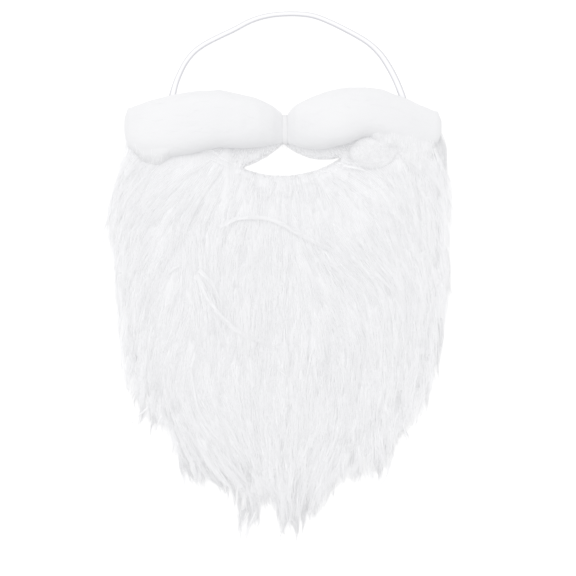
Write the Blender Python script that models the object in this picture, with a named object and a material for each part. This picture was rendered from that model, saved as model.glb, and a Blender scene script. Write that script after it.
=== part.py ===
"""A costume beard that lies on its back: a knitted backing with a mouth opening, long pile combed
into locks, a wadding moustache pinched by a tie, and a flat elastic that goes round the head.

Metres, +Z up. The backing's underside is the plane z = 0 and the pile faces up. +Y points to the
moustache, -Y to the tip of the beard. The moustache's tie stands over x = 0.
"""

import math
import random
from collections import namedtuple

import bmesh
import bpy
from mathutils import Vector

GAP = 0.0003  # clearance between pieces that touch
FLOOR_GAP = 0.0005  # how far the pile's skirt stays above the plane that the backing lies on
BACKING_THICKNESS = 0.0015
BED = BACKING_THICKNESS + 2 * GAP + 0.0009  # top of the flattened pile under the moustache
SEED = 24

# Backing: its outline, clockwise from the dip over the middle of the lip, as x, y
BACKING_OUTLINE = (
    (0.000, 0.134),
    (0.022, 0.143),
    (0.055, 0.151),
    (0.088, 0.1495),
    (0.107, 0.140),
    (0.112, 0.112),
    (0.117, 0.072),
    (0.115, 0.030),
    (0.112, -0.010),
    (0.107, -0.045),
    (0.096, -0.080),
    (0.074, -0.108),
    (0.042, -0.125),
    (0.000, -0.131),
    (-0.040, -0.126),
    (-0.072, -0.108),
    (-0.096, -0.078),
    (-0.112, -0.045),
    (-0.119, -0.010),
    (-0.122, 0.030),
    (-0.124, 0.072),
    (-0.118, 0.112),
    (-0.111, 0.140),
    (-0.088, 0.150),
    (-0.054, 0.149),
    (-0.021, 0.142),
)

# Mouth opening: three corners, and how far each edge between them bows into or out of the hole
MOUTH_LEFT = Vector((-0.0317, 0.0990))
MOUTH_APEX = Vector((-0.0011, 0.1170))
MOUTH_RIGHT = Vector((0.0420, 0.1069))
LIP_LEFT_BOW = -0.0020
LIP_RIGHT_BOW = -0.0060
CHIN_BOW = 0.0090
CHIN_FLARE = 0.0200  # how much further the pile's own opening bows towards the chin at its top
CHIN_FLARE_TOP = 0.03
MOUTH_PILE_MARGIN = 0.0006
CHIN_STEPS = 12
LIP_LEFT_STEPS = 6
LIP_RIGHT_STEPS = 8
CUT_BELOW = -0.01  # cutters reach from here
CUT_ABOVE = 0.06  # to here, well past every solid

# Pile body: sections across the beard, from the moustache to the tip
PileRow = namedtuple("PileRow", "y left right height")
PILE_ROWS = (
    PileRow(0.140, -0.1150, 0.1100, 0.0080),
    PileRow(0.126, -0.1225, 0.1160, 0.0115),
    PileRow(0.108, -0.1240, 0.1200, 0.0135),
    PileRow(0.090, -0.1280, 0.1245, 0.0130),
    PileRow(0.072, -0.1320, 0.1255, 0.0125),
    PileRow(0.050, -0.1310, 0.1245, 0.0125),
    PileRow(0.030, -0.1285, 0.1230, 0.0125),
    PileRow(0.009, -0.1275, 0.1210, 0.0125),
    PileRow(-0.012, -0.1255, 0.1205, 0.0125),
    PileRow(-0.036, -0.1228, 0.1180, 0.0125),
    PileRow(-0.060, -0.1195, 0.1130, 0.0120),
    PileRow(-0.081, -0.1080, 0.1050, 0.0115),
    PileRow(-0.099, -0.0930, 0.0905, 0.0105),
    PileRow(-0.117, -0.0785, 0.0765, 0.0095),
    PileRow(-0.133, -0.0640, 0.0560, 0.0080),
    PileRow(-0.145, -0.0430, 0.0330, 0.0060),
)
PILE_ACROSS = 12  # faces across a section's top
LIP_MIDDLE = 0.005
LIP_HALF_WIDTH = 0.060  # the pile is shorter this far to either side of the lips' middle
LIP_FOOT_Y = 0.078  # it starts to get shorter here
LIP_FULL_Y = 0.104  # and is shortest from here up
LIP_SHORTER = 0.55  # by this share of its height

# Locks that lie on the pile body in rows, each row under the tips of the one above
LockRow = namedtuple("LockRow", "root_y tip_y inner outer count width rise")
LOCK_ROWS = (
    LockRow(0.113, 0.050, 0.50, 0.85, 6, 0.026, 0.0030),
    LockRow(0.082, 0.012, 0.00, 0.85, 9, 0.028, 0.0034),
    LockRow(0.046, -0.028, 0.00, 0.87, 10, 0.025, 0.0034),
    LockRow(0.010, -0.066, 0.00, 0.85, 9, 0.026, 0.0034),
    LockRow(-0.028, -0.102, 0.00, 0.86, 9, 0.025, 0.0032),
    LockRow(-0.064, -0.134, 0.00, 0.82, 7, 0.025, 0.0030),
)
LOCK_JITTER = 0.010  # how far a lock's ends stray from its row's lines
LOCK_SWAY = 0.0035
LOCK_WIDTH_SPREAD = (0.88, 1.15)
LOCK_RISE_SPREAD = (0.8, 1.2)
LOCK_SUNK = 0.0006  # how far a lock's spine lies under the body's top, and its tip twice that
LOCK_DEPTH = 0.0045
LOCK_PATH_STEPS = 5
LOCK_SHOULDER = (0.5, 0.8)  # a shoulder's place across a lock and its share of the lock's rise
LOCK_FLANK = 0.0012  # how far a lock's side edges lie under its spine
LOCK_AIM = 0.05  # how far ahead along a lock its direction is read
LockStation = namedtuple("LockStation", "along width")
LOCK_STATIONS = (
    LockStation(0.00, 0.55),
    LockStation(0.20, 0.90),
    LockStation(0.45, 1.00),
    LockStation(0.70, 0.74),
    LockStation(0.88, 0.40),
)

# Locks that hang past the backing's edge and make the ragged outline
EdgeLock = namedtuple("EdgeLock", "root_x root_y tip_x tip_y width sway")
EDGE_LOCKS = (
    EdgeLock(-0.1220, 0.0900, -0.1365, 0.0390, 0.011, 0.003),
    EdgeLock(-0.1120, -0.0300, -0.1175, -0.0720, 0.018, 0.002),
    EdgeLock(-0.0990, -0.0560, -0.1165, -0.1010, 0.014, 0.003),
    EdgeLock(-0.0920, -0.0640, -0.1005, -0.1050, 0.014, 0.002),
    EdgeLock(-0.0810, -0.0800, -0.0820, -0.1200, 0.015, 0.002),
    EdgeLock(-0.0710, -0.0900, -0.0735, -0.1440, 0.016, -0.002),
    EdgeLock(-0.0580, -0.1000, -0.0625, -0.1460, 0.018, 0.003),
    EdgeLock(-0.0450, -0.1060, -0.0420, -0.1560, 0.019, 0.002),
    EdgeLock(-0.0240, -0.1100, -0.0320, -0.1845, 0.020, 0.001),
    EdgeLock(-0.0140, -0.1100, -0.0185, -0.1700, 0.014, -0.002),
    EdgeLock(0.0020, -0.1120, 0.0000, -0.1845, 0.015, -0.001),
    EdgeLock(0.0060, -0.1120, 0.0080, -0.1855, 0.017, -0.001),
    EdgeLock(0.0210, -0.1080, 0.0170, -0.1690, 0.018, 0.003),
    EdgeLock(0.0320, -0.1040, 0.0265, -0.1640, 0.018, 0.001),
    EdgeLock(0.0470, -0.0980, 0.0455, -0.1400, 0.018, -0.002),
    EdgeLock(0.0600, -0.0900, 0.0565, -0.1400, 0.018, 0.002),
    EdgeLock(0.0720, -0.0850, 0.0650, -0.1450, 0.014, 0.003),
    EdgeLock(0.0775, -0.0700, 0.0755, -0.1250, 0.015, 0.002),
    EdgeLock(0.0885, -0.0560, 0.0905, -0.1100, 0.013, 0.001),
    EdgeLock(0.1005, -0.0420, 0.1030, -0.0895, 0.016, 0.002),
    EdgeLock(0.1095, 0.0450, 0.1270, -0.0030, 0.013, -0.003),
)
EDGE_RISE = 0.0040
EDGE_DEPTH = 0.0065
EDGE_SUNK = 0.0010
EDGE_TIP_HEIGHT = 0.0022
EDGE_TIP_SPREAD = 0.0006
EDGE_FALL = 1.3  # above 1 a lock stays high for longer before it comes down
EDGE_PATH_STEPS = 6

# Moustache: sections along its roll, from its end on the left to its end on the right. The last
# column is how far the roll's underside stands above its bed in the pile
MoustacheRow = namedtuple("MoustacheRow", "x upper lower top lift")
MOUSTACHE_ROWS = (
    MoustacheRow(-0.1200, 0.1400, 0.1195, 0.0120, 0.0020),
    MoustacheRow(-0.1160, 0.1445, 0.1120, 0.0200, 0.0008),
    MoustacheRow(-0.1065, 0.1475, 0.1065, 0.0270, 0.0000),
    MoustacheRow(-0.0935, 0.1505, 0.1050, 0.0310, 0.0000),
    MoustacheRow(-0.0775, 0.1542, 0.1060, 0.0330, 0.0000),
    MoustacheRow(-0.0620, 0.1560, 0.1095, 0.0340, 0.0000),
    MoustacheRow(-0.0480, 0.1558, 0.1130, 0.0340, 0.0000),
    MoustacheRow(-0.0330, 0.1533, 0.1120, 0.0330, 0.0000),
    MoustacheRow(-0.0190, 0.1492, 0.1135, 0.0290, 0.0000),
    MoustacheRow(-0.0090, 0.1442, 0.1155, 0.0220, 0.0008),
    MoustacheRow(-0.0024, 0.1370, 0.1176, 0.0135, 0.0018),
    MoustacheRow(0.0024, 0.1370, 0.1176, 0.0135, 0.0018),
    MoustacheRow(0.0080, 0.1450, 0.1140, 0.0220, 0.0008),
    MoustacheRow(0.0180, 0.1500, 0.1118, 0.0290, 0.0000),
    MoustacheRow(0.0310, 0.1553, 0.1115, 0.0330, 0.0000),
    MoustacheRow(0.0450, 0.1580, 0.1150, 0.0330, 0.0000),
    MoustacheRow(0.0590, 0.1582, 0.1210, 0.0310, 0.0000),
    MoustacheRow(0.0730, 0.1567, 0.1205, 0.0270, 0.0000),
    MoustacheRow(0.0880, 0.1520, 0.1150, 0.0220, 0.0000),
    MoustacheRow(0.1000, 0.1480, 0.1120, 0.0180, 0.0000),
    MoustacheRow(0.1110, 0.1438, 0.1135, 0.0140, 0.0005),
    MoustacheRow(0.1170, 0.1385, 0.1200, 0.0100, 0.0015),
)
WAIST = 10  # the row where the tie's stretch of even thickness begins
MOUSTACHE_BED = BED + GAP
MOUSTACHE_SIDES = 16
MOUSTACHE_BELLY = 0.42  # height of a section's widest place, as a share of its thickness
MOUSTACHE_SQUARENESS = (0.9, 0.8)  # below 1 a section is fuller than an ellipse, across and upwards
MOUSTACHE_BED_MARGIN = 0.0018

# Tie: a flat band wound round the moustache's waist
TIE_WIDTH = 0.0034
TIE_THICKNESS = 0.0011
TIE_ROUNDED_WIDTH = 0.0022  # the part of its width that keeps its full thickness

# Elastic: its route from one sewn end to the other, and how far the band leans on its edge
ElasticPoint = namedtuple("ElasticPoint", "x y lean_deg")
ELASTIC_ROUTE = (
    ElasticPoint(-0.0870, 0.1415, 0),
    ElasticPoint(-0.0855, 0.1475, 0),
    ElasticPoint(-0.0840, 0.1545, 6),
    ElasticPoint(-0.0820, 0.1620, 24),
    ElasticPoint(-0.0785, 0.1705, 34),
    ElasticPoint(-0.0745, 0.1780, 36),
    ElasticPoint(-0.0685, 0.1855, 34),
    ElasticPoint(-0.0605, 0.1915, 34),
    ElasticPoint(-0.0505, 0.1968, 32),
    ElasticPoint(-0.0385, 0.2025, 34),
    ElasticPoint(-0.0265, 0.2088, 34),
    ElasticPoint(-0.0155, 0.2124, 36),
    ElasticPoint(-0.0035, 0.2141, 38),
    ElasticPoint(0.0095, 0.2143, 38),
    ElasticPoint(0.0215, 0.2128, 34),
    ElasticPoint(0.0335, 0.2083, 34),
    ElasticPoint(0.0455, 0.2025, 32),
    ElasticPoint(0.0565, 0.1965, 30),
    ElasticPoint(0.0645, 0.1910, 26),
    ElasticPoint(0.0720, 0.1835, 14),
    ElasticPoint(0.0780, 0.1745, 6),
    ElasticPoint(0.0830, 0.1650, 0),
    ElasticPoint(0.0870, 0.1550, 0),
    ElasticPoint(0.0893, 0.1475, 0),
    ElasticPoint(0.0905, 0.1415, 0),
)
ELASTIC_WIDTH = 0.0050
ELASTIC_THICKNESS = 0.0012
ELASTIC_SEAT = BACKING_THICKNESS + GAP + ELASTIC_THICKNESS / 2
ELASTIC_LIFT_Y = 0.1520  # nearer the beard than this the band lies on the backing
ELASTIC_DOWN_Y = 0.1620  # beyond this it lies on the table
ELASTIC_STEPS = 52

COLOURS = {
    "knit": (0.86, 0.86, 0.87, 0.85),
    "pile": (0.88, 0.88, 0.89, 0.60),
    "wadding": (0.91, 0.91, 0.93, 0.75),
    "thread": (0.80, 0.80, 0.82, 0.60),
    "elastic": (0.84, 0.84, 0.86, 0.55),
}


def clear_scene():
    """Removes every object of the startup scene."""
    for item in list(bpy.data.objects):
        bpy.data.objects.remove(item, do_unlink=True)


def material(name):
    """A plain white material of the named finish."""
    red, green, blue, roughness = COLOURS[name]
    made = bpy.data.materials.new(name)
    made.use_nodes = True
    shader = made.node_tree.nodes["Principled BSDF"]
    shader.inputs["Base Color"].default_value = (red, green, blue, 1)
    shader.inputs["Roughness"].default_value = roughness
    shader.inputs["Metallic"].default_value = 0
    return made


def add_object(name, data, finish):
    """Links a mesh or a curve to the scene as a named object with its own material."""
    made = bpy.data.objects.new(name, data)
    bpy.context.scene.collection.objects.link(made)
    if finish:
        data.materials.append(material(finish))
    return made


def mesh_object(name, bm, finish=None):
    """An object from a bmesh, with outward faces, shaded smooth between its sharper edges."""
    bmesh.ops.recalc_face_normals(bm, faces=bm.faces)
    data = bpy.data.meshes.new(name)
    bm.to_mesh(data)
    bm.free()
    data.shade_smooth()
    data.set_sharp_from_angle(angle=math.radians(35))
    return add_object(name, data, finish)


def helper(made):
    """Marks an object as a cutter or an operand that isn't part of the beard."""
    made.hide_render = True
    made.display_type = "WIRE"
    return made


def boolean(target, operation, other):
    """Adds a Boolean modifier that keeps Blender's exact solver."""
    modifier = target.modifiers.new(operation.lower(), "BOOLEAN")
    modifier.operation = operation
    modifier.solver = "EXACT"
    modifier.use_self = operation == "UNION"
    modifier.object = other


def spline_point(points, position, closed=False):
    """The point at a position, counted in points, on a smooth curve through the points."""
    count = len(points)
    first = math.floor(position)
    share = position - first

    def pick(index):
        return points[index % count] if closed else points[max(0, min(count - 1, index))]

    before, start, end, after = (Vector(pick(first + k)) for k in (-1, 0, 1, 2))
    return 0.5 * (
        2 * start
        + (end - before) * share
        + (2 * before - 5 * start + 4 * end - after) * share**2
        + (3 * start - before - 3 * end + after) * share**3
    )


def between(rows, key, value, wanted):
    """A table's wanted column where its key column, which falls, has the given value."""
    for above, below in zip(rows, rows[1:]):
        top, bottom = getattr(above, key), getattr(below, key)
        if value >= bottom:
            share = min(1.0, max(0.0, (top - value) / (top - bottom)))
            return getattr(above, wanted) * (1 - share) + getattr(below, wanted) * share
    return getattr(rows[-1], wanted)


def loft(bm, rings, close_start=True, close_end=True):
    """Joins closed rings of equally many points into one skin, with its ends filled."""
    loops = [[bm.verts.new(point) for point in ring] for ring in rings]
    for first, second in zip(loops, loops[1:]):
        count = len(first)
        for k in range(count):
            bm.faces.new((first[k], first[(k + 1) % count], second[(k + 1) % count], second[k]))
    if close_start:
        bm.faces.new(loops[0][::-1])
    if close_end:
        bm.faces.new(loops[-1])
    return loops


def prism(outline, low, high):
    """A bmesh of an outline extruded between two heights."""
    bm = bmesh.new()
    loft(bm, [[(x, y, z) for x, y in outline] for z in (low, high)])
    return bm


def grown(outline, margin):
    """A counterclockwise or clockwise outline moved outwards by a margin."""
    count = len(outline)
    area = sum(
        outline[k][0] * outline[(k + 1) % count][1] - outline[(k + 1) % count][0] * outline[k][1]
        for k in range(count)
    )
    side = margin if area > 0 else -margin
    moved = []
    for k, (x, y) in enumerate(outline):
        ahead, behind = outline[(k + 1) % count], outline[k - 1]
        run = Vector((ahead[0] - behind[0], ahead[1] - behind[1])).normalized()
        moved.append((x + run.y * side, y - run.x * side))
    return moved


def arc(start, end, bow, steps):
    """Points of a circular arc from start up to, but not at, end. A positive bow is to its right."""
    chord = end - start
    right = Vector((chord.y, -chord.x)).normalized()
    radius = (chord.length_squared / 4 + bow**2) / (2 * abs(bow))
    half = math.asin(min(1.0, chord.length / (2 * radius)))
    side = math.copysign(1.0, bow)
    centre = (start + end) / 2 - right * side * (radius - abs(bow))
    points = []
    for k in range(steps):
        turn = half * (2 * k / steps - 1)
        along = chord.normalized() * math.sin(turn) * radius
        points.append(tuple(centre + along + right * side * math.cos(turn) * radius))
    return points


def mouth_outline(chin_bow):
    """The mouth opening's outline, counterclockwise from its left corner along the chin."""
    return (
        arc(MOUTH_LEFT, MOUTH_RIGHT, chin_bow, CHIN_STEPS)
        + arc(MOUTH_RIGHT, MOUTH_APEX, LIP_RIGHT_BOW, LIP_RIGHT_STEPS)
        + arc(MOUTH_APEX, MOUTH_LEFT, LIP_LEFT_BOW, LIP_LEFT_STEPS)
    )


def backing_outline():
    """The backing's outline as a smooth closed curve."""
    count = len(BACKING_OUTLINE)
    return [tuple(spline_point(BACKING_OUTLINE, k / 2, closed=True)) for k in range(2 * count)]


def moustache_outline():
    """The moustache's outline from above."""
    upper = [(row.x, row.upper) for row in MOUSTACHE_ROWS]
    lower = [(row.x, row.lower) for row in MOUSTACHE_ROWS]
    return lower + upper[::-1]


def pile_height(x, y):
    """Height of the pile body's top over a place on it."""
    left = between(PILE_ROWS, "y", y, "left")
    right = between(PILE_ROWS, "y", y, "right")
    height = between(PILE_ROWS, "y", y, "height")
    across = (2 * x - left - right) / (right - left)
    aside = min(1.0, abs(x - LIP_MIDDLE) / LIP_HALF_WIDTH)
    up = min(1.0, max(0.0, (y - LIP_FOOT_Y) / (LIP_FULL_Y - LIP_FOOT_Y)))
    shorter = 1 - LIP_SHORTER * up * (1 - aside**2) ** 2
    return BACKING_THICKNESS + height * shorter * math.sqrt(max(0.0, 1 - across**4))


def pile_place(across, y):
    """The x of a place that lies a share of the way from the pile's middle to its edge."""
    left = between(PILE_ROWS, "y", y, "left")
    right = between(PILE_ROWS, "y", y, "right")
    return (left + right) / 2 + across * (right - left) / 2


def make_backing():
    """The knitted backing, flat on the table, with its mouth opening."""
    backing = mesh_object("backing_cloth", prism(backing_outline(), 0, BACKING_THICKNESS), "knit")
    hole = prism(mouth_outline(CHIN_BOW), CUT_BELOW, CUT_ABOVE)
    boolean(backing, "DIFFERENCE", helper(mesh_object("mouth_cutter", hole)))


def pile_body():
    """A bmesh of the pile without its locks: a low dome, thin at its edges, lofted along y."""
    rings = []
    for row in PILE_ROWS:
        top = []
        for k in range(PILE_ACROSS + 1):
            across = -math.cos(math.pi * k / PILE_ACROSS)
            x = pile_place(across, row.y)
            top.append((x, row.y, max(pile_height(x, row.y), 3 * FLOOR_GAP)))
        skirt = [(row.right, row.y, FLOOR_GAP), (row.left, row.y, FLOOR_GAP)]
        rings.append(top + skirt)
    bm = bmesh.new()
    loft(bm, rings)
    return bm


def add_lock(bm, path, width, rise, depth):
    """Adds one lock: a leaf-shaped solid along a path, ridged on top and pointed at its tip."""
    sections = []
    steps = len(path) - 1
    across, share = LOCK_SHOULDER
    for station in LOCK_STATIONS:
        here = spline_point(path, station.along * steps)
        ahead = spline_point(path, min(1.0, station.along + LOCK_AIM) * steps)
        run = (ahead - here).to_2d().normalized()
        side = Vector((-run.y, run.x, 0)) * width / 2 * station.width
        up = Vector((0, 0, rise * station.width))
        flank = Vector((0, 0, min(LOCK_FLANK, here.z - FLOOR_GAP)))
        bottom = Vector((here.x, here.y, max(here.z - depth * station.width, FLOOR_GAP)))
        left_half = [here + side - flank, here + side * across + up * share]
        right_half = [here - side * across + up * share, here - side - flank]
        sections.append([*left_half, here + up, *right_half, bottom])
    loops = loft(bm, sections, close_end=False)
    tip = bm.verts.new(path[-1])
    last = loops[-1]
    for k in range(len(last)):
        bm.faces.new((last[k], last[(k + 1) % len(last)], tip))


def row_locks(bm, chance):
    """Adds the rows of locks that lie on the pile body."""
    for row in LOCK_ROWS:
        for k in range(row.count):
            spread = 2 * k / (row.count - 1) - 1
            across = math.copysign(row.inner, spread) + spread * (row.outer - row.inner)
            root_y = row.root_y + chance.uniform(-LOCK_JITTER, LOCK_JITTER) / 2
            tip_y = row.tip_y + chance.uniform(-LOCK_JITTER, LOCK_JITTER)
            sway = chance.uniform(-LOCK_SWAY, LOCK_SWAY)
            path = []
            for step in range(LOCK_PATH_STEPS + 1):
                share = step / LOCK_PATH_STEPS
                y = root_y + (tip_y - root_y) * share
                x = pile_place(across, y) + sway * math.sin(math.pi * share * 1.5)
                sunk = LOCK_SUNK if step < LOCK_PATH_STEPS else 2 * LOCK_SUNK
                path.append(Vector((x, y, pile_height(x, y) - sunk)))
            width = row.width * chance.uniform(*LOCK_WIDTH_SPREAD)
            add_lock(bm, path, width, row.rise * chance.uniform(*LOCK_RISE_SPREAD), LOCK_DEPTH)


def edge_locks(bm, chance):
    """Adds the locks that hang past the backing's edge, down to the table."""
    for lock in EDGE_LOCKS:
        start = Vector((lock.root_x, lock.root_y))
        end = Vector((lock.tip_x, lock.tip_y))
        side = Vector((end.y - start.y, start.x - end.x)).normalized()
        root_z = pile_height(*start) - EDGE_SUNK
        fall = EDGE_TIP_HEIGHT + chance.uniform(0, EDGE_TIP_SPREAD) - root_z
        path = []
        for step in range(EDGE_PATH_STEPS + 1):
            share = step / EDGE_PATH_STEPS
            flat = start.lerp(end, share) + side * lock.sway * math.sin(2 * math.pi * share)
            path.append(Vector((*flat, root_z + fall * share**EDGE_FALL)))
        add_lock(bm, path, lock.width, EDGE_RISE, EDGE_DEPTH)


def make_pile():
    """The long pile: body and locks as one solid, open at the mouth, with room for its neighbours."""
    pile = mesh_object("beard_pile", pile_body(), "pile")
    chance = random.Random(SEED)
    bm = bmesh.new()
    row_locks(bm, chance)
    edge_locks(bm, chance)
    boolean(pile, "UNION", helper(mesh_object("lock_bundle", bm)))

    recess = prism(grown(backing_outline(), 2 * GAP), CUT_BELOW, BACKING_THICKNESS + GAP)
    boolean(pile, "DIFFERENCE", helper(mesh_object("recess_cutter", recess)))

    opening = bmesh.new()
    straight = grown(mouth_outline(CHIN_BOW), MOUTH_PILE_MARGIN)
    flared = grown(mouth_outline(CHIN_BOW + CHIN_FLARE), MOUTH_PILE_MARGIN)
    rings = ((straight, CUT_BELOW), (straight, BED), (flared, CHIN_FLARE_TOP))
    loft(opening, [[(x, y, z) for x, y in outline] for outline, z in rings])
    boolean(pile, "DIFFERENCE", helper(mesh_object("pile_mouth_cutter", opening)))

    bed = prism(grown(moustache_outline(), MOUSTACHE_BED_MARGIN), BED, CUT_ABOVE)
    boolean(pile, "DIFFERENCE", helper(mesh_object("bed_cutter", bed)))


def rounded(value, power):
    """A sine or cosine raised to a power with its sign kept."""
    return math.copysign(abs(value) ** power, value)


def moustache_section(row, margin=0.0):
    """A closed section across the moustache's roll: round above, flatter underneath."""
    middle = (row.upper + row.lower) / 2
    half = (row.upper - row.lower) / 2 + margin
    bottom = MOUSTACHE_BED + row.lift
    belly = bottom + (row.top - bottom) * MOUSTACHE_BELLY
    points = []
    for k in range(MOUSTACHE_SIDES):
        turn = 2 * math.pi * (k + 0.5) / MOUSTACHE_SIDES
        reach = row.top - belly if math.sin(turn) > 0 else belly - bottom
        y = middle + half * rounded(math.cos(turn), MOUSTACHE_SQUARENESS[0])
        z = belly + (reach + margin) * rounded(math.sin(turn), MOUSTACHE_SQUARENESS[1])
        points.append((y, z))
    return points


def make_moustache():
    """The wadding roll with its waist in the middle."""
    bm = bmesh.new()
    loft(bm, [[(row.x, y, z) for y, z in moustache_section(row)] for row in MOUSTACHE_ROWS])
    mesh_object("moustache", bm, "wadding")


def make_tie():
    """The tie: a band wound round the moustache's waist."""
    inner = moustache_section(MOUSTACHE_ROWS[WAIST], GAP)
    outer = moustache_section(MOUSTACHE_ROWS[WAIST], GAP + TIE_THICKNESS)
    edge, face = TIE_WIDTH / 2, TIE_ROUNDED_WIDTH / 2
    profile = ((inner, -edge), (outer, -face), (outer, face), (inner, edge))
    rings = [[(x, y, z) for y, z in ring] for ring, x in profile]
    bm = bmesh.new()
    loops = loft(bm, rings, close_start=False, close_end=False)
    first, last = loops[0], loops[-1]
    for k in range(MOUSTACHE_SIDES):
        after = (k + 1) % MOUSTACHE_SIDES
        bm.faces.new((last[k], last[after], first[after], first[k]))
    mesh_object("centre_tie", bm, "thread")


def make_elastic():
    """The flat elastic, laid on the table in an arch, with both ends sewn down on the backing."""
    route = [(point.x, point.y, math.radians(point.lean_deg)) for point in ELASTIC_ROUTE]
    data = bpy.data.curves.new("elastic", "CURVE")
    data.dimensions = "3D"
    data.twist_mode = "Z_UP"
    data.fill_mode = "FULL"
    data.use_fill_caps = True
    data.bevel_depth = ELASTIC_THICKNESS / 2
    data.bevel_resolution = 1
    data.extrude = (ELASTIC_WIDTH - ELASTIC_THICKNESS) / 2
    spline = data.splines.new("POLY")
    spline.points.add(ELASTIC_STEPS)
    for k, point in enumerate(spline.points):
        x, y, lean = spline_point(route, k / ELASTIC_STEPS * (len(route) - 1))
        lean = max(lean, 0.0)
        rest = data.extrude * math.sin(lean) + ELASTIC_THICKNESS / 2
        down = min(1.0, max(0.0, (y - ELASTIC_LIFT_Y) / (ELASTIC_DOWN_Y - ELASTIC_LIFT_Y)))
        point.co = (x, y, ELASTIC_SEAT + (rest - ELASTIC_SEAT) * down, 1)
        point.tilt = math.pi / 2 - lean
    add_object("elastic_band", data, "elastic")


def main():
    clear_scene()
    make_backing()
    make_pile()
    make_moustache()
    make_tie()
    make_elastic()


main()
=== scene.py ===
"""Looks of a costume beard that lies on its back: combed white pile, a wadding moustache, its wound
tie, a braided elastic and a knitted backing, on a pale floor under soft light.
"""

import math
from collections import namedtuple

import bpy
import numpy as np
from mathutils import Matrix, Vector
from mathutils.bvhtree import BVHTree


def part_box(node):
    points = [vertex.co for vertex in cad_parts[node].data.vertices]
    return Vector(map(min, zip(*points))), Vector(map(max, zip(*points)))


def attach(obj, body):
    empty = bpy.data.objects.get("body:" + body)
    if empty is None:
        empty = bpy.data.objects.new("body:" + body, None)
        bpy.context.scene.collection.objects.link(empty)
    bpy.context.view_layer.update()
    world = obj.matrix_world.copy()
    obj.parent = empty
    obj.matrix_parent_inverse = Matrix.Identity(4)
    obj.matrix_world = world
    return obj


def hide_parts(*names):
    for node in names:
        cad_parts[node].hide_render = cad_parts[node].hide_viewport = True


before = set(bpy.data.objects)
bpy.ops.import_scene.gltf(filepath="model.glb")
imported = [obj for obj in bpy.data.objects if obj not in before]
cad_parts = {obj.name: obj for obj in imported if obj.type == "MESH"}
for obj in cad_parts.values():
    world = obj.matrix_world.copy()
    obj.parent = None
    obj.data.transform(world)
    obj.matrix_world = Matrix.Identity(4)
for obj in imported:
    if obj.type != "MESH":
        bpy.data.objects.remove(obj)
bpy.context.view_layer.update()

rng = np.random.default_rng(2024)

MM = 0.001

# Camera: straight above, and the floor that its picture covers
CAMERA_HEIGHT = 1.5
CAMERA_OVER = (2.25 * MM, 9.0 * MM)
PICTURE_WIDTH = 432 * MM
SENSOR = 36.0

# Light
WORLD_STRENGTH = 0.39
WORLD_COLOUR = (0.975, 0.98, 1.0)
KEY_POWER = 51.0
KEY_SIZE = 2.4
KEY_PLACE = (-0.25, 0.45, 1.9)
KEY_AIM = (0, 0.02, 0)
FLOOR_HALF = 6.0
FLOOR_Z = -0.1 * MM
FLOOR_COLOUR = (0.90, 0.90, 0.90)
FLOOR_GLOW = 0.30  # the floor is a light table: it glows through, which keeps it clear of shadows
VIEW_GAMMA = 3.0
DIFFUSE_BOUNCES = 8

# Elastic: the route of its middle, and how far the band leans on its edge
ElasticPoint = namedtuple("ElasticPoint", "x y lean_deg")
ELASTIC_ROUTE = (
    ElasticPoint(-0.0870, 0.1415, 0),
    ElasticPoint(-0.0855, 0.1475, 0),
    ElasticPoint(-0.0840, 0.1545, 6),
    ElasticPoint(-0.0820, 0.1620, 24),
    ElasticPoint(-0.0785, 0.1705, 34),
    ElasticPoint(-0.0745, 0.1780, 36),
    ElasticPoint(-0.0685, 0.1855, 34),
    ElasticPoint(-0.0605, 0.1915, 34),
    ElasticPoint(-0.0505, 0.1968, 32),
    ElasticPoint(-0.0385, 0.2025, 34),
    ElasticPoint(-0.0265, 0.2088, 34),
    ElasticPoint(-0.0155, 0.2124, 36),
    ElasticPoint(-0.0035, 0.2141, 38),
    ElasticPoint(0.0095, 0.2143, 38),
    ElasticPoint(0.0215, 0.2128, 34),
    ElasticPoint(0.0335, 0.2083, 34),
    ElasticPoint(0.0455, 0.2025, 32),
    ElasticPoint(0.0565, 0.1965, 30),
    ElasticPoint(0.0645, 0.1910, 26),
    ElasticPoint(0.0720, 0.1835, 14),
    ElasticPoint(0.0780, 0.1745, 6),
    ElasticPoint(0.0830, 0.1650, 0),
    ElasticPoint(0.0870, 0.1550, 0),
    ElasticPoint(0.0893, 0.1475, 0),
    ElasticPoint(0.0905, 0.1415, 0),
)
ELASTIC_WIDTH = 5.0 * MM
ELASTIC_THICKNESS = 1.2 * MM
ELASTIC_SEAT = 2.4 * MM
ELASTIC_LIFT_Y = 0.1520
ELASTIC_DOWN_Y = 0.1620
ELASTIC_RINGS = 240
ELASTIC_RIBS = 6
ELASTIC_RIB_DEPTH = 0.22  # as a share of the band's thickness
PLAIT_DEPTH = 0.1 * MM

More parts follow.
